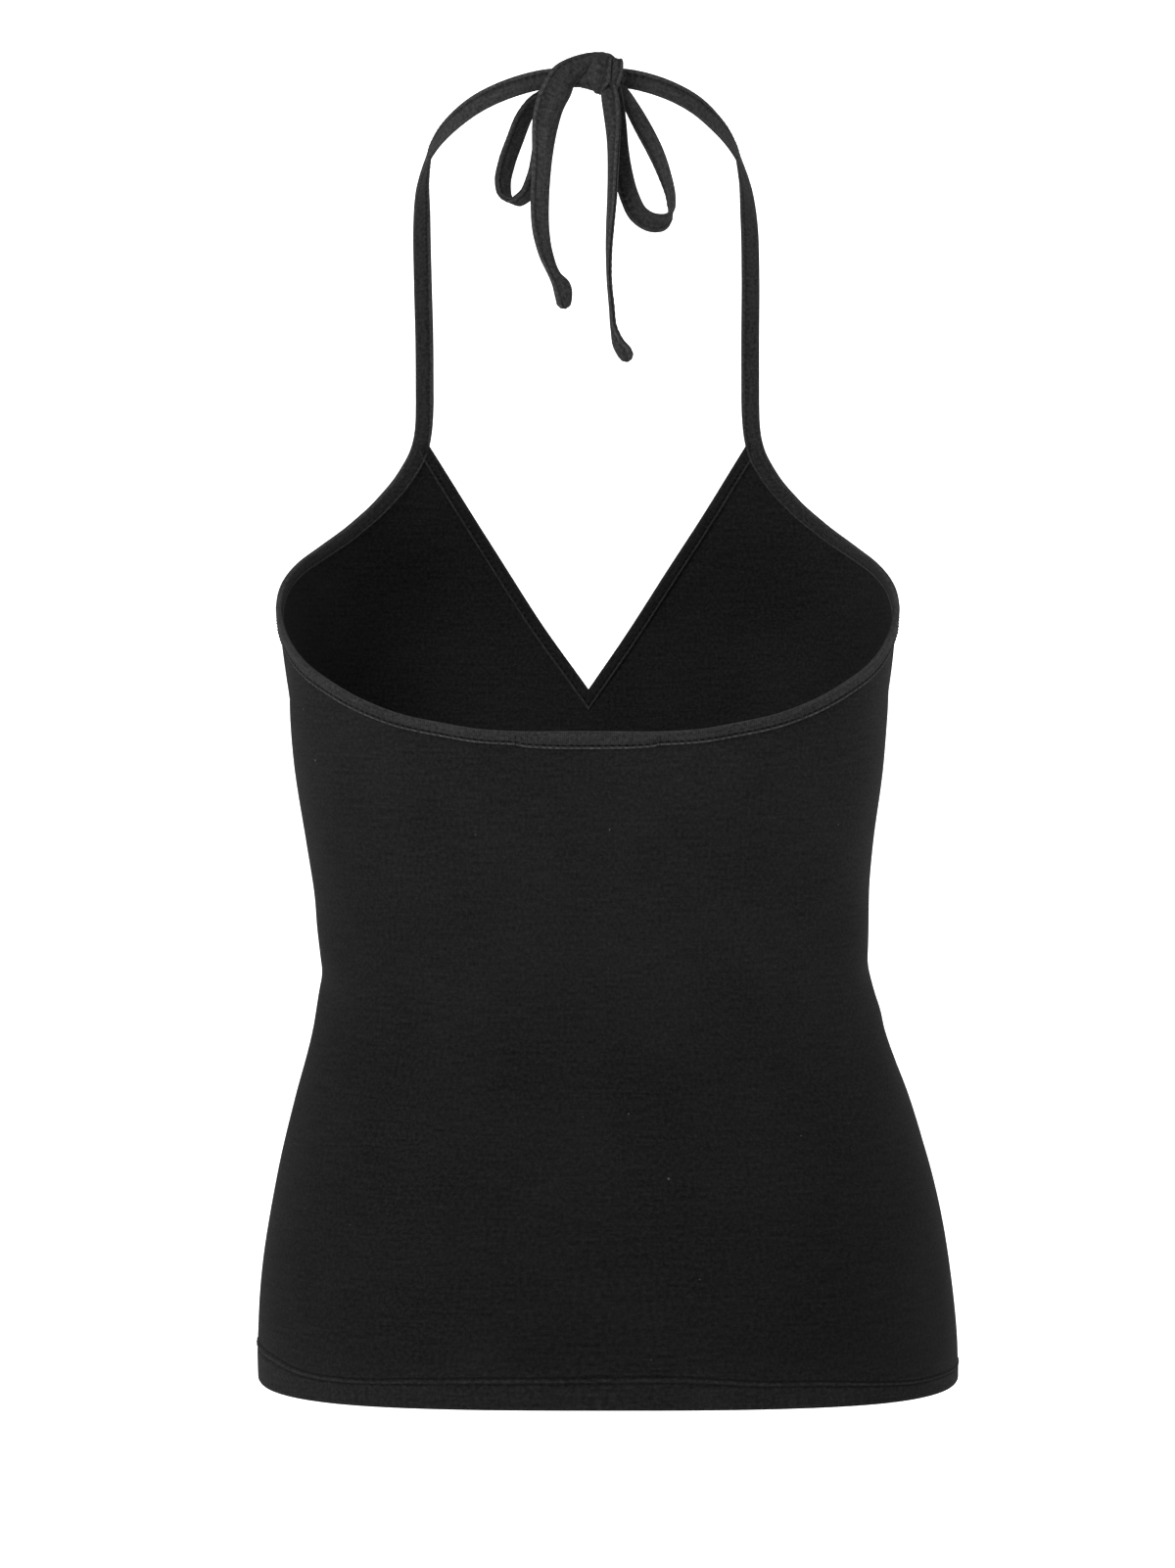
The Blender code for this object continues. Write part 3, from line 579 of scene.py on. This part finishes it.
black_thread = cotton_thread("black_thread", (0.0050, 0.0050, 0.0053))
stitching = {"tie_jersey": cotton_thread("faded_thread", (0.0115, 0.0115, 0.0120))}
for word, place, angles in (("back", "back_jersey", back_angles), ("front", "front_jersey", front_angles)):
    angles = np.linspace(angles[0], angles[-1], 500)
    fold = HEM_BOTTOM + HEM_LIFT * np.cos(np.radians(angles)) ** 2
    outs = unit(form_normals(angles, fold + 0.013) * [1, 1, 0])
    pull = hem_height(angles)
    for level, row in zip(("lower", "upper"), HEM_ROWS):
        line = on_cloth(angles, fold + row * pull) + hem_relief(row) * outs
        needle_stitches(f"{word}_hem_{level}_stitches", line, outs, place)
    line = on_cloth(angles, fold + sum(HEM_ROWS) / 2 * pull) - 2 * HEM_FOLD * outs
    looper_thread(f"{word}_hem_looper_thread", line, -outs, 0.0014, place)

# ---- Bindings and ties --------------------------------------------------------------------------------
# Narrow jersey strips, folded over an edge and stitched near their own folded edges. Past the front's two
# points the armhole strips hold nothing: they are folded shut and go round the neck as the ties.
BINDING_WIDTH = 0.0061
TIE_WIDTH = 0.0086
HOLD_GAP = 0.00043          # half the slit, where the strip holds a panel's edge
SHUT_GAP = 0.00004          # half the slit, where it is shut on itself
LEG = 0.00105               # thickness of each leg, two layers of thin jersey
STRIP_STATION = 0.0006
BOUND_DIMPLE = 0.00020      # how far each stitch presses a strip that holds a panel
FREE_DIMPLE = 0.00010
FREE_HEM = 1.5              # how much wider a free strip's stitched edge is than a binding's

# Outline of the folded strip. Measured in from the stitched edge, or out from the fold; the share of the
# leg's thickness that the outline reaches; how far the stitches press it; and its colour scale, part wear
# and part painted light: paler on the raised edge and the fold as painted highlight, darker in the stitch
# groove and on the inner leg as painted shade.
OUTLINE_COLUMNS = ("from_stitched_edge", "from_fold", "thickness", "leg", "press", "scuff_and_painted_light")
OUTLINE = (
    (0.00000, None, 0.25, 1, 0.0, 1.1),
    (0.00008, None, 0.66, 1, 0.2, 1.25),
    (0.00035, None, 1.00, 1, 0.6, 1.7),
    (0.00075, None, 1.16, 1, 0.9, 1.8),
    (0.00110, None, 0.92, 1, 1.0, 1.1),
    (0.00145, None, 0.56, 1, 1.0, 0.4),
    (0.00180, None, 0.78, 1, 0.8, 0.6),
    (0.00240, None, 0.98, 1, 0.2, 1.0),
    (None, 0.00260, 1.00, 1, 0.0, 1.0),
    (None, 0.00130, 0.96, 1, 0.0, 1.05),
    (None, 0.00060, 0.82, 1, 0.0, 1.2),
    (None, 0.00015, 0.50, 1, 0.0, 1.35),
    (None, 0.00000, 0.00, 0, 0.0, 1.35),
    (None, 0.00015, 0.50, -1, 0.0, 1.1),
    (None, 0.00060, 0.82, -1, 0.0, 0.8),
    (None, 0.00130, 0.96, -1, 0.0, 0.7),
    (None, 0.00260, 1.00, -1, 0.0, 0.65),
    (0.00240, None, 0.98, -1, 0.2, 0.65),
    (0.00180, None, 0.80, -1, 0.8, 0.6),
    (0.00145, None, 0.56, -1, 1.0, 0.5),
    (0.00110, None, 0.94, -1, 0.9, 1.1),
    (0.00075, None, 1.14, -1, 0.7, 1.3),
    (0.00035, None, 1.00, -1, 0.5, 1.4),
    (0.00008, None, 0.66, -1, 0.2, 1.4),
    (0.00000, None, 0.25, -1, 0.0, 1.2),
    (0.00060, None, 0.00, -1, 0.0, 0.6),
    (None, 0.00240, 0.00, -1, 0.0, 0.6),
    (None, 0.00170, 0.00, 0, 0.0, 0.6),
    (None, 0.00240, 0.00, 1, 0.0, 0.6),
    (0.00060, None, 0.00, 1, 0.0, 0.6),
)
NEEDLE_POINT, LOOPER_POINT = 5, 19
FULL_OUTLINE = 0.0064       # the narrowest strip that has room for both its edges at their full width


def outline(width, gap, leg, hem=1.0):
    """Reach in from the fold and lift off the middle, for each station and each point of the outline. The
    stitched edge can be wider, as a multiple, and both edges shrink together where the strip is narrow."""
    reach, lift = [], []
    fit = np.minimum(1, width / FULL_OUTLINE)
    for from_edge, from_fold, share, side, _, _ in OUTLINE:
        reach.append(width - hem * fit * from_edge if from_fold is None else fit * from_fold)
        lift.append(side * (gap + share * leg) + 0 * width)
    return np.stack(reach, axis=-1), np.stack(lift, axis=-1)


def held_rings(angles, heights, side, width, leg=LEG):
    """Rings of a strip round a panel's edge: each outline point is put on the curved cloth, then lifted."""
    edge = on_cloth(angles, heights)
    along = along_path(edge)
    inward = side * np.cross(form_normals(angles, heights), along)
    reach, lift = outline(width, HOLD_GAP, leg)
    laid = edge[:, None] + inward[:, None] * reach[..., None]
    turn = angle_of(laid)
    turn = np.where(np.abs(turn - angles[:, None]) > 180, turn + 360, turn)
    height = laid[..., 2]
    middle = lift - JERSEY_WALL / 2
    return on_cloth(turn, height) + middle[..., None] * form_normals(turn, height), form_normals(angles, heights)


def free_rings(path, outward, side, width, leg, cup=0.0):
    """Rings of a strip that holds nothing. The path is its middle, side says which way its fold lies, and
    the cup bends its edges back from the outer face by the square of their distance out, the fold twice
    as far as the stitched edge."""
    along = along_path(path)
    out = unit(outward - (outward * along).sum(axis=-1, keepdims=True) * along)
    inward = side * np.cross(out, along)
    reach, lift = outline(width, SHUT_GAP, leg, FREE_HEM)
    reach = reach - (width / 2)[:, None]
    bend = np.where(reach < 0, 1, 0.5) * np.broadcast_to(cup, width.shape)[:, None]
    lift = lift - bend * (2 * reach / width[:, None]) ** 2
    return path[:, None] + inward[:, None] * reach[..., None] + out[:, None] * lift[..., None], out


def strip(name, rings, outs, slot, dimple, scuff_and_light_scale):
    """A tube of outlines: the rings are joined by a smooth curve through each outline point, and pressed in
    once every stitch, so that the edge puffs up between. The map runs along the strip and round it."""
    run = run_along(rings.mean(axis=1))
    at = np.linspace(0, run[-1], int(run[-1] / STRIP_STATION) + 1)
    count = rings.shape[1]
    fine = smooth(run, rings.reshape(len(rings), -1), at).reshape(len(at), count, 3)
    out = unit(smooth(run, outs, at))
    press = np.array([row[4] * row[3] for row in OUTLINE])
    scuff_and_painted_light = np.array([row[5] for row in OUTLINE])
    beat = np.cos(2 * pi * (at / STITCH_PITCH - 0.25)) + 0.35 * np.sin(at * 611) * np.sin(at * 233)
    fine = fine + (dimple * beat[:, None] * press)[..., None] * out[:, None]
    # Colour scale from the outline, part wear and part painted light; the stitch beat makes it paler where the
    # edge puffs up and darker at each stitch.
    scuff_and_painted_light = 1 + scuff_and_light_scale * (scuff_and_painted_light - 1) * (0.8 + 0.7 * beat[:, None] * np.abs(press))
    around = np.linalg.norm(np.diff(fine, axis=1, append=fine[:, :1]), axis=2).mean(axis=0)
    girth = np.concatenate([[0], np.cumsum(around)[:-1]])
    cloth_map = np.stack(np.broadcast_arrays(at[:, None], girth), axis=-1)
    obj = add_grid(name, fine, finishes[slot], cloth_map, tube=True, scuff_and_painted_light=scuff_and_painted_light)
    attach(obj, "root")
    needle = needle_stitches(name + "_stitches", fine[:, NEEDLE_POINT], out, slot)
    looper = looper_thread(name + "_looper_thread", fine[:, LOOPER_POINT], -out, 0.0008, slot)
    return obj, [needle, looper]


BINDING_COLOUR = (0.0185, 0.0185, 0.0192)
TIE_COLOUR = (0.0250, 0.0250, 0.0258)
binding_jersey = knit("binding_jersey", BINDING_COLOUR, 0.00090, 0.00060, 0.5, rib_shade=0.3, fibre=0.15)
tie_jersey = knit("tie_jersey", TIE_COLOUR, 0.00080, 0.00060, 0.4, rib_shade=0.16, fibre=0.13)
finishes = {"binding_jersey": binding_jersey, "tie_jersey": tie_jersey}

DEEPER_HALF = 0.0311        # half the length of the deeper stretch at the centre back
edge_angles = np.linspace(-90, 90, 281)
edge_place = on_form(edge_angles, side_edge(edge_angles))[:, 0]
deeper = 1 / (1 + np.exp((np.abs(edge_place) - DEEPER_HALF) / 0.0008))
rounder = np.clip(1 - (edge_place / DEEPER_HALF) ** 2, 0, 1) ** 0.5
rings, outs = held_rings(edge_angles, side_edge(edge_angles), 1, BINDING_WIDTH + 0.0018 * deeper * rounder)
back_edge, _ = strip("back_edge_binding", rings, outs, "binding_jersey", BOUND_DIMPLE, 1.5)
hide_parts("back_binding")
for word, place in (("left", DEEPER_HALF + 0.0004), ("right", -DEEPER_HALF - 0.0004)):
    angle = np.interp(place, edge_place, edge_angles)
    heights = side_edge(angle) - np.linspace(0.0012, 0.0082, 12)
    tack = on_cloth(angle + 0 * heights, heights)
    outs = form_normals(angle + 0 * heights, heights)
    needle_stitches(f"{word}_end_tack", tack + (HOLD_GAP + 0.8 * LEG) * outs, outs, "binding_jersey", first=0.5)

for side, word in ((1, "left"), (-1, "right")):
    angles = np.linspace(180, 147.0, 48)
    heights = neck_edge(angles)
    leg = LEG * np.interp(angles, [147.5, 151.5], [0.35, 1])
    angles = np.where(side < 0, 360 - angles, angles)
    rings, outs = held_rings(angles, heights, -side, np.full(len(angles), BINDING_WIDTH), leg)
    # Its first end is cut slantwise, to meet the other binding at the middle of the V.
    along = unit(rings[3] - rings[0])
    meet = section("shift", heights[:1])[0] - side * 0.00015
    slide = (meet - rings[0][:, 0]) / along[:, 0]
    fade = np.clip(1 - run_along(rings.mean(axis=1)) / 0.016, 0, 1) ** 2
    rings = rings + fade[:, None, None] * (slide[:, None] * along)
    neckline, _ = strip(f"{word}_neckline_binding", rings, outs, "binding_jersey", BOUND_DIMPLE, 1.5)
    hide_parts(f"{word}_neck_binding")

# Neck tie from the front's point to the knot: its middle, which way its outer face looks, and how much
# wider of the neck the left tie lies than the right.
TIE_COLUMNS = ("x", "y", "z", "azimuth", "elevation", "left_wider")
NECK_TIE = (
    (0.0757, -0.1185, -0.1400, 166, 28, 0.0000),
    (0.0752, -0.1060, -0.1120, 163, 36, 0.0002),
    (0.0748, -0.0910, -0.0840, 156, 44, 0.0008),
    (0.0736, -0.0730, -0.0600, 138, 48, 0.0018),
    (0.0710, -0.0540, -0.0420, 100, 36, 0.0032),
    (0.0662, -0.0360, -0.0300, 74, 20, 0.0038),
    (0.0575, -0.0190, -0.0195, 50, 10, 0.0032),
    (0.0460, -0.0080, -0.0106, 28, 5, 0.0016),
    (0.0330, -0.0022, -0.0048, 12, 2, 0.0004),
    (0.0200, -0.0004, -0.0014, 4, 0, 0.0000),
)
KNOT_END = {1: -0.0018, -1: 0.0114}


def looking(azimuth, elevation):
    """Directions from an azimuth, 0 to the back and 90 to the wearer's left, and an elevation."""
    azimuth, elevation = np.radians(azimuth), np.radians(elevation)
    level = np.cos(elevation)
    return np.stack([np.sin(azimuth) * level, np.cos(azimuth) * level, np.sin(elevation)], axis=-1)


for side, word in ((1, "left"), (-1, "right")):
    angles = np.concatenate([np.linspace(90, 138, 45), [139.5, 141, 142.5, 144]])
    width = np.interp(angles, [110, 145], [BINDING_WIDTH, TIE_WIDTH])
    arm, arm_out = held_rings(side * angles, side_edge(angles), side, width)
    place = np.array([row[:3] for row in NECK_TIE])
    place[:, 0] += (side > 0) * read(NECK_TIE, TIE_COLUMNS, "left_wider")
    place = np.concatenate([place, [[KNOT_END[side], 0, -0.0004]]]) * [side, 1, 1]
    azimuth = side * np.append(read(NECK_TIE, TIE_COLUMNS, "azimuth"), 0)
    elevation = np.append(read(NECK_TIE, TIE_COLUMNS, "elevation"), 0)
    run = run_along(place)
    rows = smooth(run, np.hstack([place, looking(azimuth, elevation)]), np.linspace(0, run[-1], 60))
    tie, tie_out = free_rings(rows[:, :3], rows[:, 3:], side, np.full(len(rows), TIE_WIDTH), LEG, cup=0.0004)
    halter, _ = strip(
        f"{word}_armhole_strip_and_tie",
        np.concatenate([arm, tie]),
        np.concatenate([arm_out, tie_out]),
        "tie_jersey",
        FREE_DIMPLE,
        0.8,
    )
    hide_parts(f"{word}_halter_strip")

# ---- The bow ------------------------------------------------------------------------------------------
# The ties' own ends: two loops and two tails of the same folded strip, soft enough to bend on edge. The
# tails are simply cut off, and their ends flare, thicken and curl.
# The middle's route; the strip's width; which way its stitched edge lies from the middle; how far both edges
# bend back; and how far the strip hangs below the route, where it slips down round the knot.
RIBBON_COLUMNS = ("x", "y", "z", "width", "azimuth", "elevation", "cup", "drop")
LEFT_LOOP = (
    (0.0070, 0.0046, -0.0010, 0.0050, 10, -60, 0.0000, 0.0),
    (0.0148, 0.0044, -0.0034, 0.0070, 30, -48, 0.0004, 0.0),
    (0.0214, 0.0040, -0.0084, 0.0084, 46, -28, 0.0008, 0.0),
    (0.0276, 0.0034, -0.0168, 0.0088, 52, -12, 0.0010, 0.0),
    (0.0322, 0.0032, -0.0279, 0.0088, 52, -4, 0.0010, 0.0),
    (0.0360, 0.0038, -0.0388, 0.0088, 50, 0, 0.0010, 0.0),
    (0.0374, 0.0052, -0.0470, 0.0088, 45, 4, 0.0008, 0.0),
    (0.0360, 0.0074, -0.0530, 0.0088, 40, 10, 0.0006, 0.0),
    (0.0320, 0.0092, -0.0556, 0.0088, 40, 14, 0.0006, 0.0),
    (0.0270, 0.0100, -0.0530, 0.0088, 44, 12, 0.0006, 0.0),
    (0.0228, 0.0100, -0.0450, 0.0088, 52, 6, 0.0006, 0.0),
    (0.0200, 0.0100, -0.0320, 0.0086, 56, 0, 0.0006, 0.0),
    (0.0170, 0.0100, -0.0180, 0.0070, 54, -20, 0.0004, 0.0),
    (0.0112, 0.0096, -0.0058, 0.0046, 30, -50, 0.0000, 0.0),
)
RIGHT_LOOP = (
    (-0.0140, 0.0042, -0.0034, 0.0060, 150, 40, 0.0000, 0.0),
    (-0.0180, 0.0046, -0.0116, 0.0080, 130, 22, 0.0004, 0.0),
    (-0.0236, 0.0042, -0.0219, 0.0086, 122, 10, 0.0006, 0.0),
    (-0.0290, 0.0038, -0.0323, 0.0086, 130, 0, 0.0008, 0.0),
    (-0.0334, 0.0038, -0.0432, 0.0086, 148, -4, 0.0008, 0.0),
    (-0.0364, 0.0046, -0.0541, 0.0088, 164, -10, 0.0006, 0.0),
    (-0.0362, 0.0064, -0.0608, 0.0088, 174, -30, 0.0006, 0.0),
    (-0.0334, 0.0080, -0.0637, 0.0088, 174, -54, 0.0006, 0.0),
    (-0.0286, 0.0094, -0.0642, 0.0090, 156, -66, 0.0006, 0.0),
    (-0.0224, 0.0104, -0.0606, 0.0092, 124, -48, 0.0006, 0.0),
    (-0.0187, 0.0106, -0.0536, 0.0090, 112, -24, 0.0006, 0.0),
    (-0.0158, 0.0100, -0.0432, 0.0088, 108, -8, 0.0006, 0.0),
    (-0.0140, 0.0094, -0.0323, 0.0088, 108, -2, 0.0006, 0.0),
    (-0.0132, 0.0090, -0.0214, 0.0084, 108, 0, 0.0004, 0.0),
    (-0.0128, 0.0088, -0.0100, 0.0060, 110, 0, 0.0000, 0.0),
)
LEFT_TAIL = (
    (-0.0098, 0.0060, 0.0088, 0.0066, 180, 5, 0.0004, 0.0006),
    (-0.0030, 0.0076, 0.0094, 0.0076, 178, 26, 0.0008, 0.0014),
    (0.0040, 0.0100, 0.0080, 0.0096, 130, 58, 0.0016, 0.0038),
    (0.0094, 0.0130, 0.0036, 0.0120, 96, 44, 0.0034, 0.0034),
    (0.0130, 0.0158, -0.0040, 0.0132, 90, 26, 0.0031, 0.0022),
    (0.0162, 0.0172, -0.0130, 0.0128, 86, 14, 0.0032, 0.0004),
    (0.0181, 0.0174, -0.0220, 0.0118, 84, 8, 0.0034, 0.0),
    (0.0194, 0.0168, -0.0330, 0.0096, 86, 3, 0.0014, 0.0),
    (0.0203, 0.0162, -0.0450, 0.0085, 88, 0, 0.0006, 0.0),
    (0.0208, 0.0158, -0.0570, 0.0082, 88, -4, 0.0005, 0.0),
    (0.0203, 0.0156, -0.0680, 0.0076, 88, -9, 0.0006, 0.0),
    (0.0179, 0.0158, -0.0790, 0.0063, 88, -16, 0.0008, 0.0),
    (0.0141, 0.0164, -0.0878, 0.0056, 88, -22, 0.0012, 0.0),
    (0.0110, 0.0168, -0.0928, 0.0082, 84, -24, 0.0018, 0.0),
    (0.0100, 0.0170, -0.0978, 0.0076, 78, -6, 0.0022, 0.0),
    (0.0102, 0.0170, -0.1022, 0.0054, 78, 6, 0.0024, 0.0),
)
RIGHT_TAIL = (
    (-0.0090, 0.0112, -0.0058, 0.0072, -74, 0, 0.0000, 0.0),
    (-0.0100, 0.0146, -0.0120, 0.0084, -66, 0, 0.0003, 0.0),
    (-0.0107, 0.0162, -0.0200, 0.0088, -52, 0, 0.0005, 0.0),
    (-0.0110, 0.0172, -0.0300, 0.0088, -36, 0, 0.0005, 0.0),
    (-0.0108, 0.0174, -0.0420, 0.0088, -27, 0, 0.0005, 0.0),
    (-0.0104, 0.0170, -0.0540, 0.0086, -23, 0, 0.0004, 0.0),
    (-0.0096, 0.0162, -0.0660, 0.0086, -17, 0, 0.0004, 0.0),
    (-0.0091, 0.0154, -0.0780, 0.0086, -9, 0, 0.0004, 0.0),
    (-0.0093, 0.0148, -0.0890, 0.0086, -4, 0, 0.0004, 0.0),
    (-0.0103, 0.0146, -0.1010, 0.0086, -6, 0, 0.0005, 0.0),
    (-0.0113, 0.0146, -0.1115, 0.0084, -14, 4, 0.0008, 0.0),
    (-0.0132, 0.0148, -0.1178, 0.0078, -40, 20, 0.0012, 0.0),
    (-0.0158, 0.0150, -0.1216, 0.0074, -54, 42, 0.0018, 0.0),
    (-0.0180, 0.0152, -0.1250, 0.0050, -56, 48, 0.0020, 0.0),
)
BOW_LEG = 0.00095
CUT_ROUND = 0.0022          # the last stretch of a cut end, where its corners roll in


def bow_strip(name, table, needle_side, tuck=((), ()), cut_end=False):
    """A free strip along a table's route. Tucked points carry it on into the knot, past the route's ends,
    and towards a cut end its legs thicken where the jersey rolls. Returns it, its threads and its route."""
    table = np.array(table, float)
    for end, place in zip((0, -1), tuck):
        if place:
            row = np.concatenate([place, table[end, 3:]])
            table = np.vstack([row, table] if end == 0 else [table, row])
    run = run_along(table[:, :3])
    at = np.linspace(0, run[-1], int(run[-1] / 0.0015) + 1)
    rows = smooth(run, table, at)
    route = rows[:, :3]
    stitched_edge = looking(rows[:, 4], rows[:, 5])
    out = -needle_side * np.cross(stitched_edge, along_path(route))
    leg, width = BOW_LEG + 0 * at, rows[:, 3]
    if cut_end:
        left = run[-1] - at
        rounded = 0.45 + 0.55 * np.sqrt(1 - np.clip(1 - left / CUT_ROUND, 0, 1) ** 2)
        leg, width = leg * rounded * (1 + 1.1 * np.exp(-((left / 0.0045) ** 2))), width * rounded
    path = route - rows[:, 7:8] * [0, 0, 1]
    rings, outs = free_rings(path, out, needle_side, width, leg, rows[:, 6])
    obj, sewing = strip(name, rings, outs, "tie_jersey", FREE_DIMPLE, 0.6)
    return obj, sewing, path


for name, node, table, needle_side, tuck in (
    ("left_bow_loop", "left_loop", LEFT_LOOP, 1, ((0.0005, 0.0048, 0.0004), (0.0030, 0.0086, 0.0010))),
    ("right_bow_loop", "right_loop", RIGHT_LOOP, -1, ((-0.0095, 0.0048, 0.0010), (-0.0110, 0.0080, -0.0020))),
    ("left_bow_tail", "left_tail", LEFT_TAIL, -1, ((-0.0145, 0.0046, 0.0040), ())),
    ("right_bow_tail", "right_tail", RIGHT_TAIL, 1, ((-0.0078, 0.0082, -0.0010), ())),
):
    cut = not tuck[1]
    end, sewing, route = bow_strip(name, table, needle_side, tuck=tuck, cut_end=cut)
    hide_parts(node)

# ---- The knot -----------------------------------------------------------------------------------------
# One tie's turn wraps the crossing of the two, and a short end of it stands up beside the wrap.
KNOT_WRAP = (
    (-0.0072, 0.0020, 0.0058, 0.0076, -88, -4, 0.0006, 0.0),
    (-0.0071, 0.0070, 0.0072, 0.0080, -88, -6, 0.0008, 0.0),
    (-0.0067, 0.0112, 0.0060, 0.0084, -88, -8, 0.0010, 0.0),
    (-0.0058, 0.0136, 0.0026, 0.0096, -88, -16, 0.0014, 0.0),
    (-0.0047, 0.0138, -0.0018, 0.0110, -88, -26, 0.0018, 0.0),
    (-0.0042, 0.0120, -0.0056, 0.0076, -88, -24, 0.0014, 0.0),
    (-0.0044, 0.0086, -0.0074, 0.0042, -88, -20, 0.0008, 0.0),
    (-0.0044, 0.0042, -0.0066, 0.0040, -88, -14, 0.0004, 0.0),
    (-0.0044, 0.0016, -0.0040, 0.0040, -88, -10, 0.0004, 0.0),
)
KNOT_STUB = (
    (-0.0118, 0.0124, -0.0026, 0.0052, -88, 0, 0.0006, 0.0),
    (-0.0129, 0.0128, 0.0014, 0.0052, -92, 0, 0.0010, 0.0),
    (-0.0132, 0.0114, 0.0050, 0.0050, -94, 0, 0.0010, 0.0),
    (-0.0131, 0.0088, 0.0063, 0.0046, -94, 0, 0.0008, 0.0),
    (-0.0130, 0.0062, 0.0050, 0.0044, -92, 0, 0.0004, 0.0),
)
for name, node, table, needle_side, tuck in (
    ("knot_turn", "knot_wrap", KNOT_WRAP, 1, ((), ())),
    ("knot_upturn", "knot_stub", KNOT_STUB, -1, ((-0.0106, 0.0106, -0.0062), (-0.0126, 0.0050, 0.0010))),
):
    turn, _, _ = bow_strip(name, table, needle_side, tuck=tuck)
    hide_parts(node)


def knot_heart(centre, size):
    """The turns inside the knot: an ellipsoid whose surface is ridged by the turns that it stands for."""
    turn, lean = np.meshgrid(np.linspace(0, 2 * pi, 73)[:-1], np.linspace(0.02, pi - 0.02, 37), indexing="ij")
    ridges = 1 + 0.07 * np.sin(3 * turn + 3 * lean) + 0.03 * np.sin(9 * turn + 6 * lean)
    points = np.stack([np.cos(lean), np.sin(lean) * np.cos(turn), np.sin(lean) * np.sin(turn)], axis=-1)
    points = np.array(centre) + points * np.array(size) / 2 * ridges[..., None]
    cloth_map = np.stack([turn * 0.006, lean * 0.006], axis=-1)
    return add_grid("knot_heart", points.swapaxes(0, 1), tie_jersey, cloth_map.swapaxes(0, 1), tube=True)


heart = knot_heart((-0.0046, 0.0058, -0.0008), (0.0228, 0.0104, 0.0124))
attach(heart, "root")
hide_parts("knot_core")

# ---- Floor, backdrop and lights -----------------------------------------------------------------------
# A plain white sweep well below the hem, and soft light from all round with a broad key from above left.
sweep_points = np.array([(3.0, -1.1), (-2.0, -1.1), (-3.2, -1.0), (-4.0, -0.5), (-4.3, 0.6), (-4.4, 3.5)])
across = np.linspace(-5, 5, 3)
sweep_run = np.arange(len(sweep_points), dtype=float)
profile = smooth(sweep_run, sweep_points, np.linspace(0, 5, 60))
grid = np.stack(
    [np.broadcast_to(across, (60, 3)), np.repeat(profile[:, :1], 3, 1), np.repeat(profile[:, 1:], 3, 1)], axis=-1
)
white = bpy.data.materials.new("white_sweep")
white.use_nodes = True
white.node_tree.nodes["Principled BSDF"].inputs["Base Color"].default_value = (0.95, 0.95, 0.95, 1)
white.node_tree.nodes["Principled BSDF"].inputs["Roughness"].default_value = 1.0
white.node_tree.nodes["Principled BSDF"].inputs["Emission Color"].default_value = (1, 1, 1, 1)
white.node_tree.nodes["Principled BSDF"].inputs["Emission Strength"].default_value = 0.6
sweep = add_grid("floor", grid, white, grid[..., :2])


def soft_light(name, place, aim, width, power):
    """A square panel of light at a place, turned to look at its aim."""
    data = bpy.data.lights.new(name, "AREA")
    data.size = width
    data.energy = power
    light = bpy.data.objects.new(name, data)
    light.location = place
    along = np.array(aim, float) - place
    light.rotation_euler = (
        np.arctan2(np.hypot(along[0], along[1]), -along[2]),
        0,
        np.arctan2(along[1], along[0]) - pi / 2,
    )
    bpy.context.scene.collection.objects.link(light)


soft_light("key", np.array([1.6, 2.4, 1.4]), (0, 0, -0.3), 1.6, 100)
soft_light("left_rim", np.array([2.2, -0.9, 0.2]), (0, 0, -0.3), 1.6, 14)
soft_light("right_rim", np.array([-2.2, -0.9, 0.2]), (0, 0, -0.3), 1.6, 36)
world = bpy.data.worlds.new("studio")
world.use_nodes = True
world.node_tree.nodes["Background"].inputs["Color"].default_value = (1, 1, 1, 1)
world.node_tree.nodes["Background"].inputs["Strength"].default_value = 0.55
bpy.context.scene.world = world
bpy.context.scene.view_settings.view_transform = "Standard"
